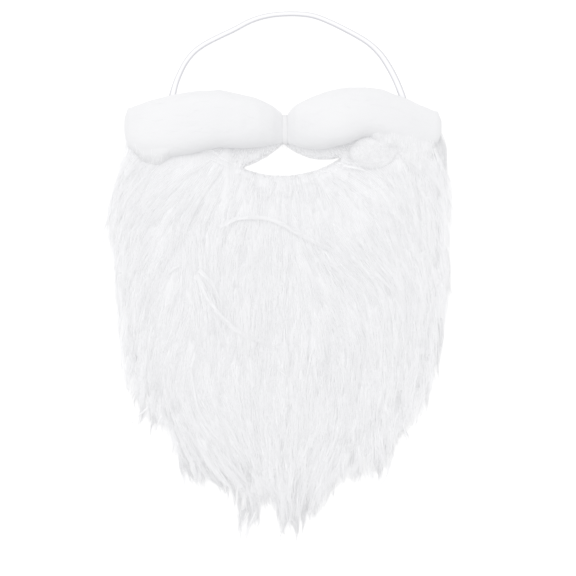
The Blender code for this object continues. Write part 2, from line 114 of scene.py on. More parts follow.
# Lean of the pile at places on it: 0 points down the beard, positive to the right, in degrees
Flow = namedtuple("Flow", "x y lean_deg")
PILE_FLOW = (
    Flow(-116, 101, -10), Flow(-101, 90, -38), Flow(-82, 94, -52), Flow(-62, 96, -48), Flow(-42, 94, -28),
    Flow(-30, 90, -10), Flow(-122, 72, -12), Flow(-105, 72, -34), Flow(-86, 72, -42), Flow(-66, 72, -36),
    Flow(-48, 74, -20), Flow(-15, 84, -2), Flow(8, 86, 2), Flow(-12, 66, -4), Flow(20, 68, 8),
    Flow(42, 98, 55), Flow(52, 84, 48), Flow(66, 90, 46), Flow(76, 76, 28), Flow(90, 90, 16),
    Flow(104, 94, 10), Flow(118, 88, 8), Flow(48, 64, 20), Flow(66, 62, 24), Flow(84, 60, 16),
    Flow(104, 58, 12), Flow(120, 58, 2), Flow(-128, 46, -6), Flow(-110, 46, -22), Flow(-92, 46, -28),
    Flow(-78, 54, -18), Flow(-66, 44, 14), Flow(-50, 50, -10), Flow(-118, 14, -4), Flow(-100, 12, -22),
    Flow(-82, 14, -16), Flow(-62, 14, 22), Flow(-44, 22, -8), Flow(-24, 26, -5), Flow(-2, 30, 3),
    Flow(16, 38, 30), Flow(36, 30, 42), Flow(54, 28, 44), Flow(72, 26, 36), Flow(92, 28, 14),
    Flow(116, 22, 0), Flow(-114, -18, -3), Flow(-96, -16, -10), Flow(-78, -18, -26), Flow(-58, -14, 14),
    Flow(-34, -14, -4), Flow(8, -6, 2), Flow(32, 0, 24), Flow(52, -2, 24), Flow(74, -8, 8),
    Flow(96, -8, 3), Flow(114, -14, -4), Flow(-116, -46, -3), Flow(-100, -48, -8), Flow(-82, -50, -6),
    Flow(-62, -46, -12), Flow(-40, -46, -5), Flow(-14, -44, -2), Flow(14, -40, 0), Flow(44, -38, 3),
    Flow(82, -38, 2), Flow(108, -44, -7), Flow(-116, -72, -6), Flow(-100, -72, -12), Flow(-86, -76, 18),
    Flow(-66, -76, 28), Flow(-44, -76, 22), Flow(-20, -76, 5), Flow(8, -76, 0), Flow(36, -76, -5),
    Flow(74, -74, -3), Flow(98, -72, -9), Flow(-88, -98, 12), Flow(-70, -98, 32), Flow(-52, -104, 34),
    Flow(-32, -106, 20), Flow(-12, -106, 4), Flow(14, -106, -10), Flow(36, -106, -18), Flow(54, -104, -13),
    Flow(72, -104, 8), Flow(90, -94, -8), Flow(-74, -124, 4), Flow(-58, -132, 40), Flow(-40, -136, 42),
    Flow(-26, -136, 8), Flow(-6, -140, 26), Flow(12, -136, -12), Flow(32, -132, -20), Flow(50, -128, -14),
    Flow(70, -128, 12), Flow(-26, -160, -3), Flow(4, -160, 4), Flow(20, -154, -12),
)
FLOW_REACH = 11 * MM

# Locks: ridges of the pile's top that follow its flow
LOCK_RISE = 1.1 * MM
LOCK_SEED = 31
LOCK_BLUR = 5
LOCK_STEP = 1.6 * MM
LOCK_REACH_STEPS = 9

# Partings, where the pile dips and shows darker, as points on their way
Parting = namedtuple("Parting", "width depth points")
PARTINGS = (
    Parting(2.6, 3.0, ((-60, 72), (-65, 64), (-68, 55), (-67, 46), (-62, 40))),
    Parting(3.0, 2.4, ((-42, 55), (-33, 50), (-29, 45))),
    Parting(2.4, 2.6, ((37, 95), (56, 93), (70, 82), (78, 68), (81, 58))),
    Parting(3.4, 6.0, ((-34, -124), (-28, -132), (-26, -140))),
    Parting(2.8, 5.0, ((10, -134), (11, -146))),
    Parting(2.8, 4.5, ((48, -106), (50, -120))),
    Parting(2.8, 4.5, ((86, -74), (88, -90))),
    Parting(3.6, 5.5, ((-94, -66), (-91, -80), (-84, -96))),
    Parting(3.0, 4.5, ((-64, -122), (-50, -136), (-38, -148))),
    Parting(2.4, 2.2, ((-84, -78), (-72, -98), (-66, -112))),
)

# Tufts of the pile: each is a bundle of fibres that runs with the flow from its root on the backing
TUFT_SPACING = 5.0 * MM
TUFT_FIBRES = 9
TUFT_POINTS = 6
TUFT_LENGTH = (40 * MM, 60 * MM)
TUFT_RADIUS = 2.9 * MM
TUFT_WAVE = (0.5 * MM, 1.9 * MM)
TUFT_WAVE_LENGTH = (16 * MM, 34 * MM)
TUFT_PHASE_SPREAD = 1.2  # how far neighbours' waves are out of step
TUFT_LEVEL = (0.90, 1.06)
FIBRE_RADIUS = 0.17 * MM
FIBRE_FLAT = 0.35  # a fibre's height as a share of its width
FIBRE_TIP = 0.35  # the tip's radius as a share of the root's
PILE_PIECES = 4
MOUTH_SHORTENS = 26 * MM  # within this distance under the mouth the pile gets shorter
MOUTH_X = 5 * MM
MOUTH_REACH = 44 * MM  # to either side of MOUTH_X
CHIN_Y = 94.5 * MM  # the chin's cut edge below the middle of the mouth
CHIN_RISE = 8 * MM  # how much higher that edge is CHIN_HALF to the side
CHIN_HALF = 37 * MM
LIP_X = 3 * MM  # the strip over the mouth, which has short pile and no tufts
LIP_Y = 98 * MM
LIP_HALF = 42 * MM
ROOTS_Y = 126 * MM  # no tuft is rooted higher, under the moustache
END_ROOTS_Y = 131 * MM  # the same beside the moustache's seat
SEAT_HALF = 112 * MM
TUFT_ROW = 0.87  # the rows' distance as a share of the tufts' distance in a row

# The pile's outline from above, clockwise from the left end of the moustache, in millimetres
PILE_EDGE = (
    (-122, 131), (-125, 124), (-125.5, 112), (-126, 99), (-127.5, 90), (-133.5, 72),
    (-134.5, 62), (-134.5, 50), (-130, 43), (-126, 27), (-127.5, 2), (-126, -9),
    (-123, -36), (-121.5, -54), (-118.5, -67.5), (-111.5, -77), (-109, -86), (-99.5, -95),
    (-88.5, -104), (-83, -113), (-79.5, -127.5), (-71.5, -139), (-61.5, -144), (-47, -147),
    (-37, -154), (-33, -172), (-30, -180), (-22, -170), (-16, -156), (-7, -158),
    (-4, -174), (4.5, -184), (11, -171), (17, -167), (23.5, -165), (31, -150),
    (37, -141), (49, -136), (61, -136), (76, -129), (79.5, -112.5), (84, -102),
    (95, -94), (106, -84), (109.5, -70.5), (115, -54), (118, -36), (121, -10),
    (125.5, 0), (124.5, 6), (121.5, 12), (122.5, 27), (124.5, 45), (126, 63),
    (127, 73), (126, 90), (123.5, 100), (119, 115), (117.5, 131),
)
LOW_EDGE_Y = -72 * MM  # below this the tufts stop at the outline, above it they run along it
FAN_DEPTH = 16 * MM  # tufts rooted this near the outline fan out to it
FAN_TIP_DEPTH = (-0.8 * MM, 5.5 * MM)
FAN_TOP_Y = 124 * MM
EDGE_MARGIN = 2.2 * MM

# Locks past the backing's edge, which make the ragged outline
EdgeLock = namedtuple("EdgeLock", "root_x root_y tip_x tip_y width sway fibres")
EDGE_LOCKS = (
    EdgeLock(-119, 92, -135.5, 40, 9, 3, 70),
    EdgeLock(-113, -20, -118.5, -68, 13, 2, 90),
    EdgeLock(-104, -50, -110, -87, 12, -3, 80),
    EdgeLock(-93, -64, -99.5, -103, 12, 2, 80),
    EdgeLock(-82, -80, -81, -123, 14, 2, 110),
    EdgeLock(-74, -90, -73.5, -142, 14, -3, 130),
    EdgeLock(-66, -96, -62, -146.5, 16, 3, 130),
    EdgeLock(-56, -104, -48, -150, 16, 2, 120),
    EdgeLock(-46, -108, -38, -157, 14, 2, 110),
    EdgeLock(-34, -112, -32, -173, 13, -2, 110),
    EdgeLock(-22, -114, -29.5, -183.5, 16, 2, 180),
    EdgeLock(-10, -112, -13, -162, 12, -2, 80),
    EdgeLock(-2, -114, -2, -179, 12, -3, 130),
    EdgeLock(6, -114, 5, -186, 17, 4, 220),
    EdgeLock(20, -110, 20, -168.5, 14, 3, 130),
    EdgeLock(32, -106, 29, -158, 14, 3, 110),
    EdgeLock(44, -102, 41, -142, 14, -2, 100),
    EdgeLock(55, -96, 55, -139, 14, 2, 110),
    EdgeLock(66, -90, 66, -137, 13, 2, 100),
    EdgeLock(75, -82, 74.5, -131, 12, 4, 90),
    EdgeLock(84, -66, 83, -112, 13, 2, 90),
    EdgeLock(92, -54, 93, -100, 13, 2, 90),
    EdgeLock(103, -40, 105, -88, 13, 2, 90),
    EdgeLock(110, -14, 114, -66, 12, -2, 80),
    EdgeLock(113, 42, 126.5, -2, 9, -2, 80),
    EdgeLock(111, 127, 127, 58, 7, -3, 70),
    EdgeLock(115, 124, 125, 72, 6, -2, 50),
    EdgeLock(-95, -75, -101, -105, 6, -2, 46),
    EdgeLock(-76, -108, -71, -145, 9, 2, 60),
    EdgeLock(-70, -112, -63, -146, 8, -2, 50),
    EdgeLock(-62, -118, -45, -150, 10, 2, 60),
    EdgeLock(-26, -140, -32, -184, 10, -3, 64),
    EdgeLock(-20, -145, -26, -176, 8, 2, 46),
    EdgeLock(0, -150, -2, -185, 7, -2, 46),
    EdgeLock(4, -152, 9, -184, 7, 2, 46),
    EdgeLock(14, -138, 22, -169, 9, 2, 50),
    EdgeLock(24, -132, 30, -162, 8, -2, 46),
    EdgeLock(46, -112, 56, -139, 9, 2, 50),
    EdgeLock(66, -100, 71, -144, 9, 2, 56),
    EdgeLock(84, -78, 91, -110, 7, 2, 46),
    EdgeLock(-99, -62, -116.5, -102, 9, 3, 60),
)
EDGE_POINTS = 8
EDGE_PARTS = 5

# Knit of the backing
KNIT_WALE = 1.3 * MM
KNIT_COURSE = 1.0 * MM
KNIT_DEPTH = 0.35 * MM

# Dense pile under the tufts
UNDERCOAT_STEP = 2.3 * MM
UNDERCOAT_SHARE = 0.90  # of the pile's height
UNDERCOAT_AT_MOUTH = 0.45
UNDERCOAT_FOOT = 1.8 * MM

# Short pile on the strip over the mouth and along the chin's cut edge
SHORT_SPACING = 1.7 * MM
LIP_LENGTH = (5 * MM, 9 * MM)
CHIN_LENGTH = (9 * MM, 16 * MM)
SHORT_FIBRES = 5
SHORT_POINTS = 4

# Stray wisps that lie on top of the pile, as points on their way
Wisp = namedtuple("Wisp", "width fibres points")
WISPS = (
    Wisp(2.0, 34, ((-66, 19), (-60, 8), (-52, -7), (-34, -24), (-15, -31), (11, -43))),
    Wisp(1.2, 16, ((-64, 22), (-54, 12), (-47, -2), (-34, -12))),
    Wisp(1.9, 28, ((-49, 54), (-34, 61), (-11, 60), (9, 50), (26, 41), (49, 30), (64, 20))),
    Wisp(1.1, 12, ((66, 21), (75, 12), (84, 2))),
    Wisp(0.5, 5, ((-5, -51), (6, -61))),
    Wisp(1.3, 16, ((-70, -52), (-64, -82), (-49, -105), (-30, -128))),
    Wisp(1.2, 14, ((-71, 52), (-68, 44), (-64, 36))),
    Wisp(0.9, 10, ((-87, 20), (-80, 25), (-71, 27))),
    Wisp(0.7, 8, ((43, 100), (56, 97), (66, 92))),
    Wisp(0.5, 6, ((-55, 112), (-45, 104), (-34, 99.5))),
    Wisp(0.4, 5, ((-58, 106), (-46, 101), (-36, 98.5))),
    Wisp(0.7, 10, ((-102, -80), (-109, -86), (-115, -94), (-118, -104))),
    Wisp(0.5, 7, ((-92, -86), (-97, -96), (-102, -105))),
    Wisp(0.6, 8, ((79, -120), (76, -132), (70, -140), (64.5, -145))),
    Wisp(0.5, 6, ((86, -88), (90, -100), (92, -110))),
    Wisp(0.7, 10, ((-130, 66), (-135.5, 52), (-136, 42), (-132, 35))),
    Wisp(0.6, 8, ((-22, -158), (-28, -172), (-33, -185))),
    Wisp(0.5, 6, ((-74, -128), (-75, -138), (-71, -147))),
)

# Moustache
MOUSTACHE_STATIONS = 150
MOUSTACHE_SIDES = 56
ROLL_END = 2.8 * MM  # the length over which an end rounds off
PINCH_HALF = 1.7 * MM  # the lobes start to swell this far from the middle, over the tie's edges
PINCH_SWELL = 2.8 * MM
PINCH_STEEP = 0.9 * MM
PINCH_FADE = 8.0 * MM
PINCH_KEEPS = 6.0 * MM  # nearer the middle than this the roll's own waist shows unsmoothed
ROLL_SMOOTHING = 12
FUZZ_FIBRES = 450
FUZZ_POINTS = 5
FUZZ_RADIUS = 0.05 * MM

# Wadding pulled out of the roll's lower side, which slopes down onto the pile
Skirt = namedtuple("Skirt", "left right reach fibres")
SKIRTS = (
    Skirt(-123, -78, 3, 60),
    Skirt(58, 118, 16, 620),
)
SKIRT_STATIONS = 44
SKIRT_STEPS = 9
SKIRT_FROM = 148  # degrees round the roll from its upper side
SKIRT_DEPTH = 3.0 * MM
SKIRT_LOWEST = 2.0 * MM
SKIRT_LUMPS = 0.9 * MM
DRAPE_LENGTH = (5 * MM, 13 * MM)
DRAPE_POINTS = 5
DRAPE_RADIUS = 0.13 * MM

# The puff of wadding that has come loose under the right lobe
PUFF_CENTRE = np.array([65 * MM, 110 * MM])
PUFF_SIZE = np.array([17 * MM, 13 * MM])
PUFF_TOP = 18 * MM
PUFF_LUMPS = 6 * MM
PUFF_SUNK = 2.5 * MM  # how far its body reaches into the pile
PUFF_SIDES = 36
PUFF_RINGS = 9
PUFF_FIBRES = 600

# Tie
TIE_THREAD = 0.28 * MM
TIE_TURNS = 6
TIE_POINTS_A_TURN = 36
TIE_HALF = 1.8 * MM
TIE_ENDS = ((-1, (-0.8, -3.5, -3.5)), (1, (0.6, -4.2, -4.0)))  # each cut end's side and its run in mm
TIE_END_HEIGHT = 8.5 * MM
TIE_END_BEND = 0.9 * MM

MATERIALS = {}


def smooth_path(points, count):
    """Points evenly spread by number on a smooth curve through the given points, as an array."""
    points = np.asarray(points, float)
    position = np.linspace(0, len(points) - 1, count)
    first = np.clip(np.floor(position).astype(int), 0, len(points) - 2)
    share = (position - first)[:, None]
    before = points[np.clip(first - 1, 0, None)]
    start = points[first]
    end = points[first + 1]
    after = points[np.clip(first + 2, None, len(points) - 1)]
    return 0.5 * (
        2 * start
        + (end - before) * share
        + (2 * before - 5 * start + 4 * end - after) * share**2
        + (3 * start - before - 3 * end + after) * share**3
    )


def surface_of(node):
    """A tree for casting rays at a CAD node."""
    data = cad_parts[node].data
    return BVHTree.FromPolygons([v.co for v in data.vertices], [tuple(p.vertices) for p in data.polygons])


class Relief:
    """A map of a CAD node's top: its height over each place, zero beside it."""

    def __init__(self, node, step=1.5 * MM, margin=24 * MM):
        low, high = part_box(node)
        self.step = step
        self.origin = np.array([low.x - margin, low.y - margin])
        size = np.array([high.x - low.x, high.y - low.y]) + 2 * margin
        columns, rows = (int(math.ceil(side / step)) + 1 for side in size)
        tree = surface_of(node)
        down = Vector((0, 0, -1))
        self.grid = np.zeros((rows, columns))
        for row in range(rows):
            for column in range(columns):
                x, y = self.origin + (column * step, row * step)
                place = tree.ray_cast(Vector((x, y, 1)), down)[0]
                self.grid[row, column] = place.z if place else 0

    def blurred(self, passes):
        """The same map, evened out."""
        made = self.copy()
        grid = self.grid
        for _ in range(passes):
            padded = np.pad(grid, 1, mode="edge")
            grid = (padded[:-2, 1:-1] + padded[2:, 1:-1] + 2 * padded[1:-1, 1:-1]) / 4
            padded = np.pad(grid, 1, mode="edge")
            grid = (padded[1:-1, :-2] + padded[1:-1, 2:] + 2 * padded[1:-1, 1:-1]) / 4
        made.grid = grid
        return made

    def filled(self, passes):
        """The same map, with its high ground grown sideways over dips such as the moustache's seat."""
        made = self.copy()
        grid = self.grid
        for _ in range(passes):
            padded = np.pad(grid, 1)
            around = (padded[:-2, 1:-1], padded[2:, 1:-1], padded[1:-1, :-2], padded[1:-1, 2:])
            grown = np.maximum.reduce(around) - 0.25 * self.step
            grid = np.where(self.grid > 0, np.maximum(grid, grown), grid)
        made.grid = grid
        return made

    def combed(self, rise):
        """The same map, with ridges along the flow where locks of the pile lie."""
        rows, columns = self.grid.shape
        across, up = np.meshgrid(np.arange(columns), np.arange(rows))
        places = np.stack([across, up], axis=2).reshape(-1, 2) * self.step + self.origin
        field = self.copy()
        field.grid = np.random.default_rng(LOCK_SEED).normal(0, 1, self.grid.shape)
        field = field.blurred(LOCK_BLUR)
        streak = field.at(places)
        for way in (1, -1):
            here = places.copy()
            for _ in range(LOCK_REACH_STEPS):
                here += lean_at(here) * way * LOCK_STEP
                streak += field.at(here)
        streak = streak.reshape(rows, columns)
        streak = np.clip(streak / streak.std(), -2, 2)
        made = self.copy()
        made.grid = np.where(self.grid > 2 * MM, self.grid + rise * streak, self.grid)
        return made

    def parted(self, partings):
        """The same map, with a dip along each parting."""
        rows, columns = self.grid.shape
        across, up = np.meshgrid(np.arange(columns), np.arange(rows))
        places = np.stack([across, up], axis=2) * self.step + self.origin
        made = self.copy()
        for parting in partings:
            line = smooth_path(np.array(parting.points, float) * MM, 24)
            away = np.full((rows, columns), np.inf)
            for x, y in line:
                away = np.minimum(away, np.hypot(places[..., 0] - x, places[..., 1] - y))
            dip = parting.depth * MM * np.exp(-((away / (parting.width * MM)) ** 2))
            made.grid = np.where(made.grid > 2 * MM, np.maximum(made.grid - dip, 2 * MM), made.grid)
        return made

    def copy(self):
        """A second map with the same heights."""
        made = object.__new__(Relief)
        made.step, made.origin, made.grid = self.step, self.origin, self.grid
        return made

    def at(self, points):
        """Heights over an array of places."""
        place = (np.asarray(points)[..., :2] - self.origin) / self.step
        rows, columns = self.grid.shape
        column = np.clip(place[..., 0], 0, columns - 1.001)
        row = np.clip(place[..., 1], 0, rows - 1.001)
        left, low = column.astype(int), row.astype(int)
        across, up = column - left, row - low
        bottom = self.grid[low, left] * (1 - across) + self.grid[low, left + 1] * across
        top = self.grid[low + 1, left] * (1 - across) + self.grid[low + 1, left + 1] * across
        return bottom * (1 - up) + top * up


class Edge:
    """A closed outline seen from above, which tells how deep inside it places lie."""

    def __init__(self, points):
        self.start = np.array(points, float) * MM
        self.end = np.roll(self.start, -1, axis=0)

    def depth(self, places):
        """How far inside places lie, negative outside, and their directions away from the nearest edge."""
        flat = np.asarray(places).reshape(-1, 2)
        best = np.full(len(flat), np.inf)
        away = np.zeros_like(flat)
        inside = np.zeros(len(flat), bool)
        for start, end in zip(self.start, self.end):
            along = end - start
            share = np.clip((flat - start) @ along / (along @ along), 0, 1)
            gap = flat - (start + share[:, None] * along)
            far = np.linalg.norm(gap, axis=1)
            nearer = far < best
            best = np.where(nearer, far, best)
            away[nearer] = gap[nearer]
            crossing = (start[1] > flat[:, 1]) != (end[1] > flat[:, 1])
            rise = along[1] if along[1] else 1e-12
            inside ^= crossing & (flat[:, 0] < start[0] + along[0] * (flat[:, 1] - start[1]) / rise)
        away = unit(away)
        sign = np.where(inside, 1.0, -1.0)
        shape = places.shape[:-1]
        return (best * sign).reshape(shape), (away * sign[:, None]).reshape(places.shape)


def unit(vectors):
    """The same directions, each one unit long."""
    return vectors / np.maximum(np.linalg.norm(vectors, axis=-1, keepdims=True), 1e-9)


def new_object(name, data):
    """An object for some data, in the scene."""
    made = bpy.data.objects.new(name, data)
    bpy.context.scene.collection.objects.link(made)
    return made


def dress(piece, material):
    """Gives a piece its material, and says what it rides on."""
    piece.data.materials.clear()
    piece.data.materials.append(MATERIALS[material])
    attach(piece, "root")


def grid_faces(number):
    """The faces between the points of a grid, by the points' numbers."""
    return np.stack([number[:-1, :-1], number[:-1, 1:], number[1:, 1:], number[1:, :-1]], axis=2)


def ring_faces(rings, sides):
    """The side faces of a row of rings of points."""
    faces = []
    for ring in range(rings - 1):
        for k in range(sides):
            a, b = ring * sides + k, ring * sides + (k + 1) % sides
            faces.append((a, b, b + sides, a + sides))
    return faces


def tube_faces(rings, sides):
    """The faces of a closed tube of rings of points."""
    first = tuple(range(sides))[::-1]
    last = tuple((rings - 1) * sides + k for k in range(sides))
    return ring_faces(rings, sides) + [first, last]


def flattened(faces):
    """Where each face starts in one long list of corners, and that list."""
    starts = np.cumsum([0] + [len(face) for face in faces[:-1]])
    return starts, np.array([corner for face in faces for corner in face])


def array_mesh(name, points, starts, corners, smooth=True):
    """A mesh object from arrays of points, of each face's first corner, and of all faces' corners."""
    data = bpy.data.meshes.new(name)
    data.vertices.add(len(points))
    data.vertices.foreach_set("co", np.asarray(points, np.float32).ravel())
    data.loops.add(len(corners))
    data.loops.foreach_set("vertex_index", np.asarray(corners, np.int32))
    data.polygons.add(len(starts))
    data.polygons.foreach_set("loop_start", np.asarray(starts, np.int32))
    data.update(calc_edges=True)
    data.validate()
    if smooth:
        data.shade_smooth()
    return new_object(name, data)


def fibres(name, paths, radii):
    """One mesh of many tapered fibres. paths is fibre, point, xyz, and radii is fibre, point."""
    count, steps = paths.shape[:2]
    run = unit(np.gradient(paths, axis=1))
    side = np.cross(run, np.array([0.0, 0.0, 1.0]))
    flat = np.linalg.norm(side, axis=2, keepdims=True)
    side = np.where(flat > 0.05, side / np.maximum(flat, 1e-9), np.array([1.0, 0.0, 0.0]))
    up = np.cross(side, run)
    rings = []
    for turn in (math.pi / 2, math.pi * 7 / 6, math.pi * 11 / 6):
        ring = paths + radii[..., None] * (side * math.cos(turn) + up * math.sin(turn) * FIBRE_FLAT)
        rings.append(ring[:, :-1])
    body = np.stack(rings, axis=2).reshape(count, (steps - 1) * 3, 3)
    points = np.concatenate([body, paths[:, -1:]], axis=1)
    faces = [[0, 1, 2]]
    for ring in range(steps - 2):
        for k in range(3):
            a, b = ring * 3 + k, ring * 3 + (k + 1) % 3
            faces.append([a, a + 3, b + 3, b])
    last = (steps - 2) * 3
    tip = (steps - 1) * 3
    faces += [[last + (k + 1) % 3, last + k, tip] for k in range(3)]
    starts, corners = flattened(faces)
    stride = points.shape[1]
    all_corners = (corners[None] + np.arange(count)[:, None] * stride).ravel()
    all_starts = (starts[None] + np.arange(count)[:, None] * len(corners)).ravel()
    return array_mesh(name, points.reshape(-1, 3), all_starts, all_corners, smooth=False)


def lean_at(points):
    """The pile's direction at an array of places, as unit vectors."""
    table = np.array(PILE_FLOW, float)
    places = table[:, :2] * MM
    away = ((points[:, None] - places[None]) ** 2).sum(axis=2)
    weight = np.exp(-away / (2 * FLOW_REACH**2)) + 1e-9
    lean = np.radians((weight * table[:, 2]).sum(axis=1) / weight.sum(axis=1))
    return np.stack([np.sin(lean), -np.cos(lean)], axis=1)


def flow_paths(roots, lengths, steps, turn):
    """Paths from roots along the flow, each turned by its own small angle."""
    here = roots.copy()
    made = [here]
    cosine, sine = np.cos(turn), np.sin(turn)
    for _ in range(steps - 1):
        run = lean_at(here)
        x, y = run.T
        run = np.stack([x * cosine - y * sine, x * sine + y * cosine], axis=1)
        here = here + run * (lengths / (steps - 1))[:, None]
        made.append(here)
    return np.stack(made, axis=1)


def wave_along(paths, lengths, amplitude, wave_length, phase):
    """Adds a sideways wave to flat paths, which grows from nothing at their roots."""
    steps = paths.shape[1]
    share = np.linspace(0, 1, steps)
    run = unit(np.gradient(paths, axis=1))
    side = np.stack([-run[..., 1], run[..., 0]], axis=2)
    turn = math.tau * share[None] * (lengths / wave_length)[:, None] + phase[:, None]
    return paths + side * (np.sin(turn) * amplitude[:, None] * np.sqrt(share)[None])[..., None]


def bundle(spines, radius, each, closing, loose):
    """Fibres round each spine: spines is tuft, point, xyz; they draw together towards the tip."""
    count, steps = spines.shape[:2]
    share = np.linspace(0, 1, steps)
    run = unit(np.gradient(spines, axis=1))
    side = unit(np.stack([-run[..., 1], run[..., 0], np.zeros(run.shape[:2])], axis=2))
    angle = rng.uniform(0, math.tau, (count, each))
    far = np.sqrt(rng.uniform(0, 1, (count, each)))
    width = 1 - (1 - closing) * share**1.2
    reach = (radius[:, None] * far)[..., None] * width[None, None]
    across = reach * np.cos(angle)[..., None]
    above = reach * np.sin(angle)[..., None] * 0.45
    turns = rng.uniform(0.8, 2.2, (count, each))[..., None] * math.tau * share
    across = across + loose * np.sin(turns + rng.uniform(0, math.tau, (count, each))[..., None]) * share
    paths = spines[:, None] + side[:, None] * across[..., None]
    paths[..., 2] += above
    return paths.reshape(count * each, steps, 3)


def trimmed(paths, low, high):
    """The same fibres, each cut or stretched to its own share of its path."""
    count, steps = paths.shape[:2]
    share = rng.uniform(low, high, count)[:, None] * np.linspace(0, 1, steps)[None] * (steps - 1)
    first = np.clip(share.astype(int), 0, steps - 2)
    part = (share - first)[..., None]
    rows = np.arange(count)[:, None]
    return paths[rows, first] * (1 - part) + paths[rows, first + 1] * part


def taper(count, steps, root, tip_share):
    """Radii that fall off towards the tips."""
    share = np.linspace(0, 1, steps)
    return np.tile(root * (1 - (1 - tip_share) * share**1.5), (count, 1))


def noise_colour(tree, low, high, scale, detail=3.0, stretch=(1, 1, 1)):
    """A colour that wanders between two others, and the object coordinates that it goes by."""
    nodes, links = tree.nodes, tree.links
    place = nodes.new("ShaderNodeTexCoord")
    mapping = nodes.new("ShaderNodeMapping")
    mapping.inputs["Scale"].default_value = stretch
    noise = nodes.new("ShaderNodeTexNoise")
    noise.inputs["Scale"].default_value = scale
    noise.inputs["Detail"].default_value = detail
    ramp = nodes.new("ShaderNodeValToRGB")
    ramp.color_ramp.elements[0].position = 0.3
    ramp.color_ramp.elements[1].position = 0.7
    ramp.color_ramp.elements[0].color = (*low, 1)
    ramp.color_ramp.elements[1].color = (*high, 1)
    links.new(place.outputs["Object"], mapping.inputs["Vector"])
    links.new(mapping.outputs["Vector"], noise.inputs["Vector"])
    links.new(noise.outputs["Fac"], ramp.inputs["Fac"])
    return ramp.outputs["Color"], mapping.outputs["Vector"]


def cloth_material(name, low, high, scale, roughness, sheen, stretch=(1, 1, 1), bump=None):
    """A white textile: a wandering colour, a soft sheen and, where asked for, a fine bump."""
    made = bpy.data.materials.new(name)
    made.use_nodes = True
    tree = made.node_tree
    shader = tree.nodes["Principled BSDF"]
    colour, place = noise_colour(tree, low, high, scale, stretch=stretch)
    tree.links.new(colour, shader.inputs["Base Color"])
    shader.inputs["Roughness"].default_value = roughness
    shader.inputs["Sheen Weight"].default_value = sheen
    shader.inputs["Sheen Roughness"].default_value = 0.5
    shader.inputs["Specular IOR Level"].default_value = 0.3
    if bump:
        depth, detail_scale = bump
        fine = tree.nodes.new("ShaderNodeTexNoise")
        fine.inputs["Scale"].default_value = detail_scale
        fine.inputs["Detail"].default_value = 4.0
        tree.links.new(place, fine.inputs["Vector"])
        add_bump(tree, fine.outputs["Fac"], 0.6, depth)
    return made


def add_bump(tree, height, strength, depth):
    """Lets a height shape the surface that a material shows."""
    relief = tree.nodes.new("ShaderNodeBump")
    relief.inputs["Strength"].default_value = strength
    relief.inputs["Distance"].default_value = depth
    tree.links.new(height, relief.inputs["Height"])
    tree.links.new(relief.outputs["Normal"], tree.nodes["Principled BSDF"].inputs["Normal"])


def elastic_material():
    """The braid: pale in the middle and darker towards its two selvedges, a painted shade of its edge-on
    sides, with fine plaiting along it.
    """
    made = bpy.data.materials.new("elastic_braid")
    made.use_nodes = True
    tree = made.node_tree
    nodes, links = tree.nodes, tree.links
    shader = nodes["Principled BSDF"]
    across = nodes.new("ShaderNodeAttribute")
    across.attribute_name = "across"
    # Painted shade: the base colour darkens from the band's middle to its selvedges, standing in for the
    # shade on its edge-on sides.
    ramp = nodes.new("ShaderNodeValToRGB")
    ramp.color_ramp.elements[0].position = 0.40
    ramp.color_ramp.elements[0].color = (0.76, 0.76, 0.80, 1)
    ramp.color_ramp.elements[1].position = 0.78
    ramp.color_ramp.elements[1].color = (0.20, 0.20, 0.24, 1)
    links.new(across.outputs["Fac"], ramp.inputs["Fac"])
    links.new(ramp.outputs["Color"], shader.inputs["Base Color"])
    shader.inputs["Roughness"].default_value = 0.55
    shader.inputs["Sheen Weight"].default_value = 0.1
    place = nodes.new("ShaderNodeTexCoord")
    plait = nodes.new("ShaderNodeTexNoise")
    plait.inputs["Scale"].default_value = 1800
    plait.inputs["Detail"].default_value = 2.0
    links.new(place.outputs["Object"], plait.inputs["Vector"])
    add_bump(tree, plait.outputs["Fac"], 0.5, PLAIT_DEPTH)
    return made


def knit_material():
    """The backing: a slightly uneven white with the loops of a knit in rows and columns."""
    made = cloth_material("backing_knit", (0.62, 0.62, 0.635), (0.78, 0.78, 0.79), 260, 0.85, 0.1)
    tree = made.node_tree
    nodes, links = tree.nodes, tree.links
    place = nodes.new("ShaderNodeTexCoord")
    waves = []
    for direction, spacing in (("X", KNIT_WALE), ("Y", KNIT_COURSE)):
        wave = nodes.new("ShaderNodeTexWave")
        wave.bands_direction = direction
        wave.inputs["Scale"].default_value = math.tau / (20 * spacing)
        wave.inputs["Distortion"].default_value = 0.4
        links.new(place.outputs["Object"], wave.inputs["Vector"])
        waves.append(wave)
    loops = nodes.new("ShaderNodeMath")
    loops.operation = "MULTIPLY"
    links.new(waves[0].outputs["Fac"], loops.inputs[0])
    links.new(waves[1].outputs["Fac"], loops.inputs[1])
    add_bump(tree, loops.outputs["Value"], 0.8, KNIT_DEPTH)
    return made


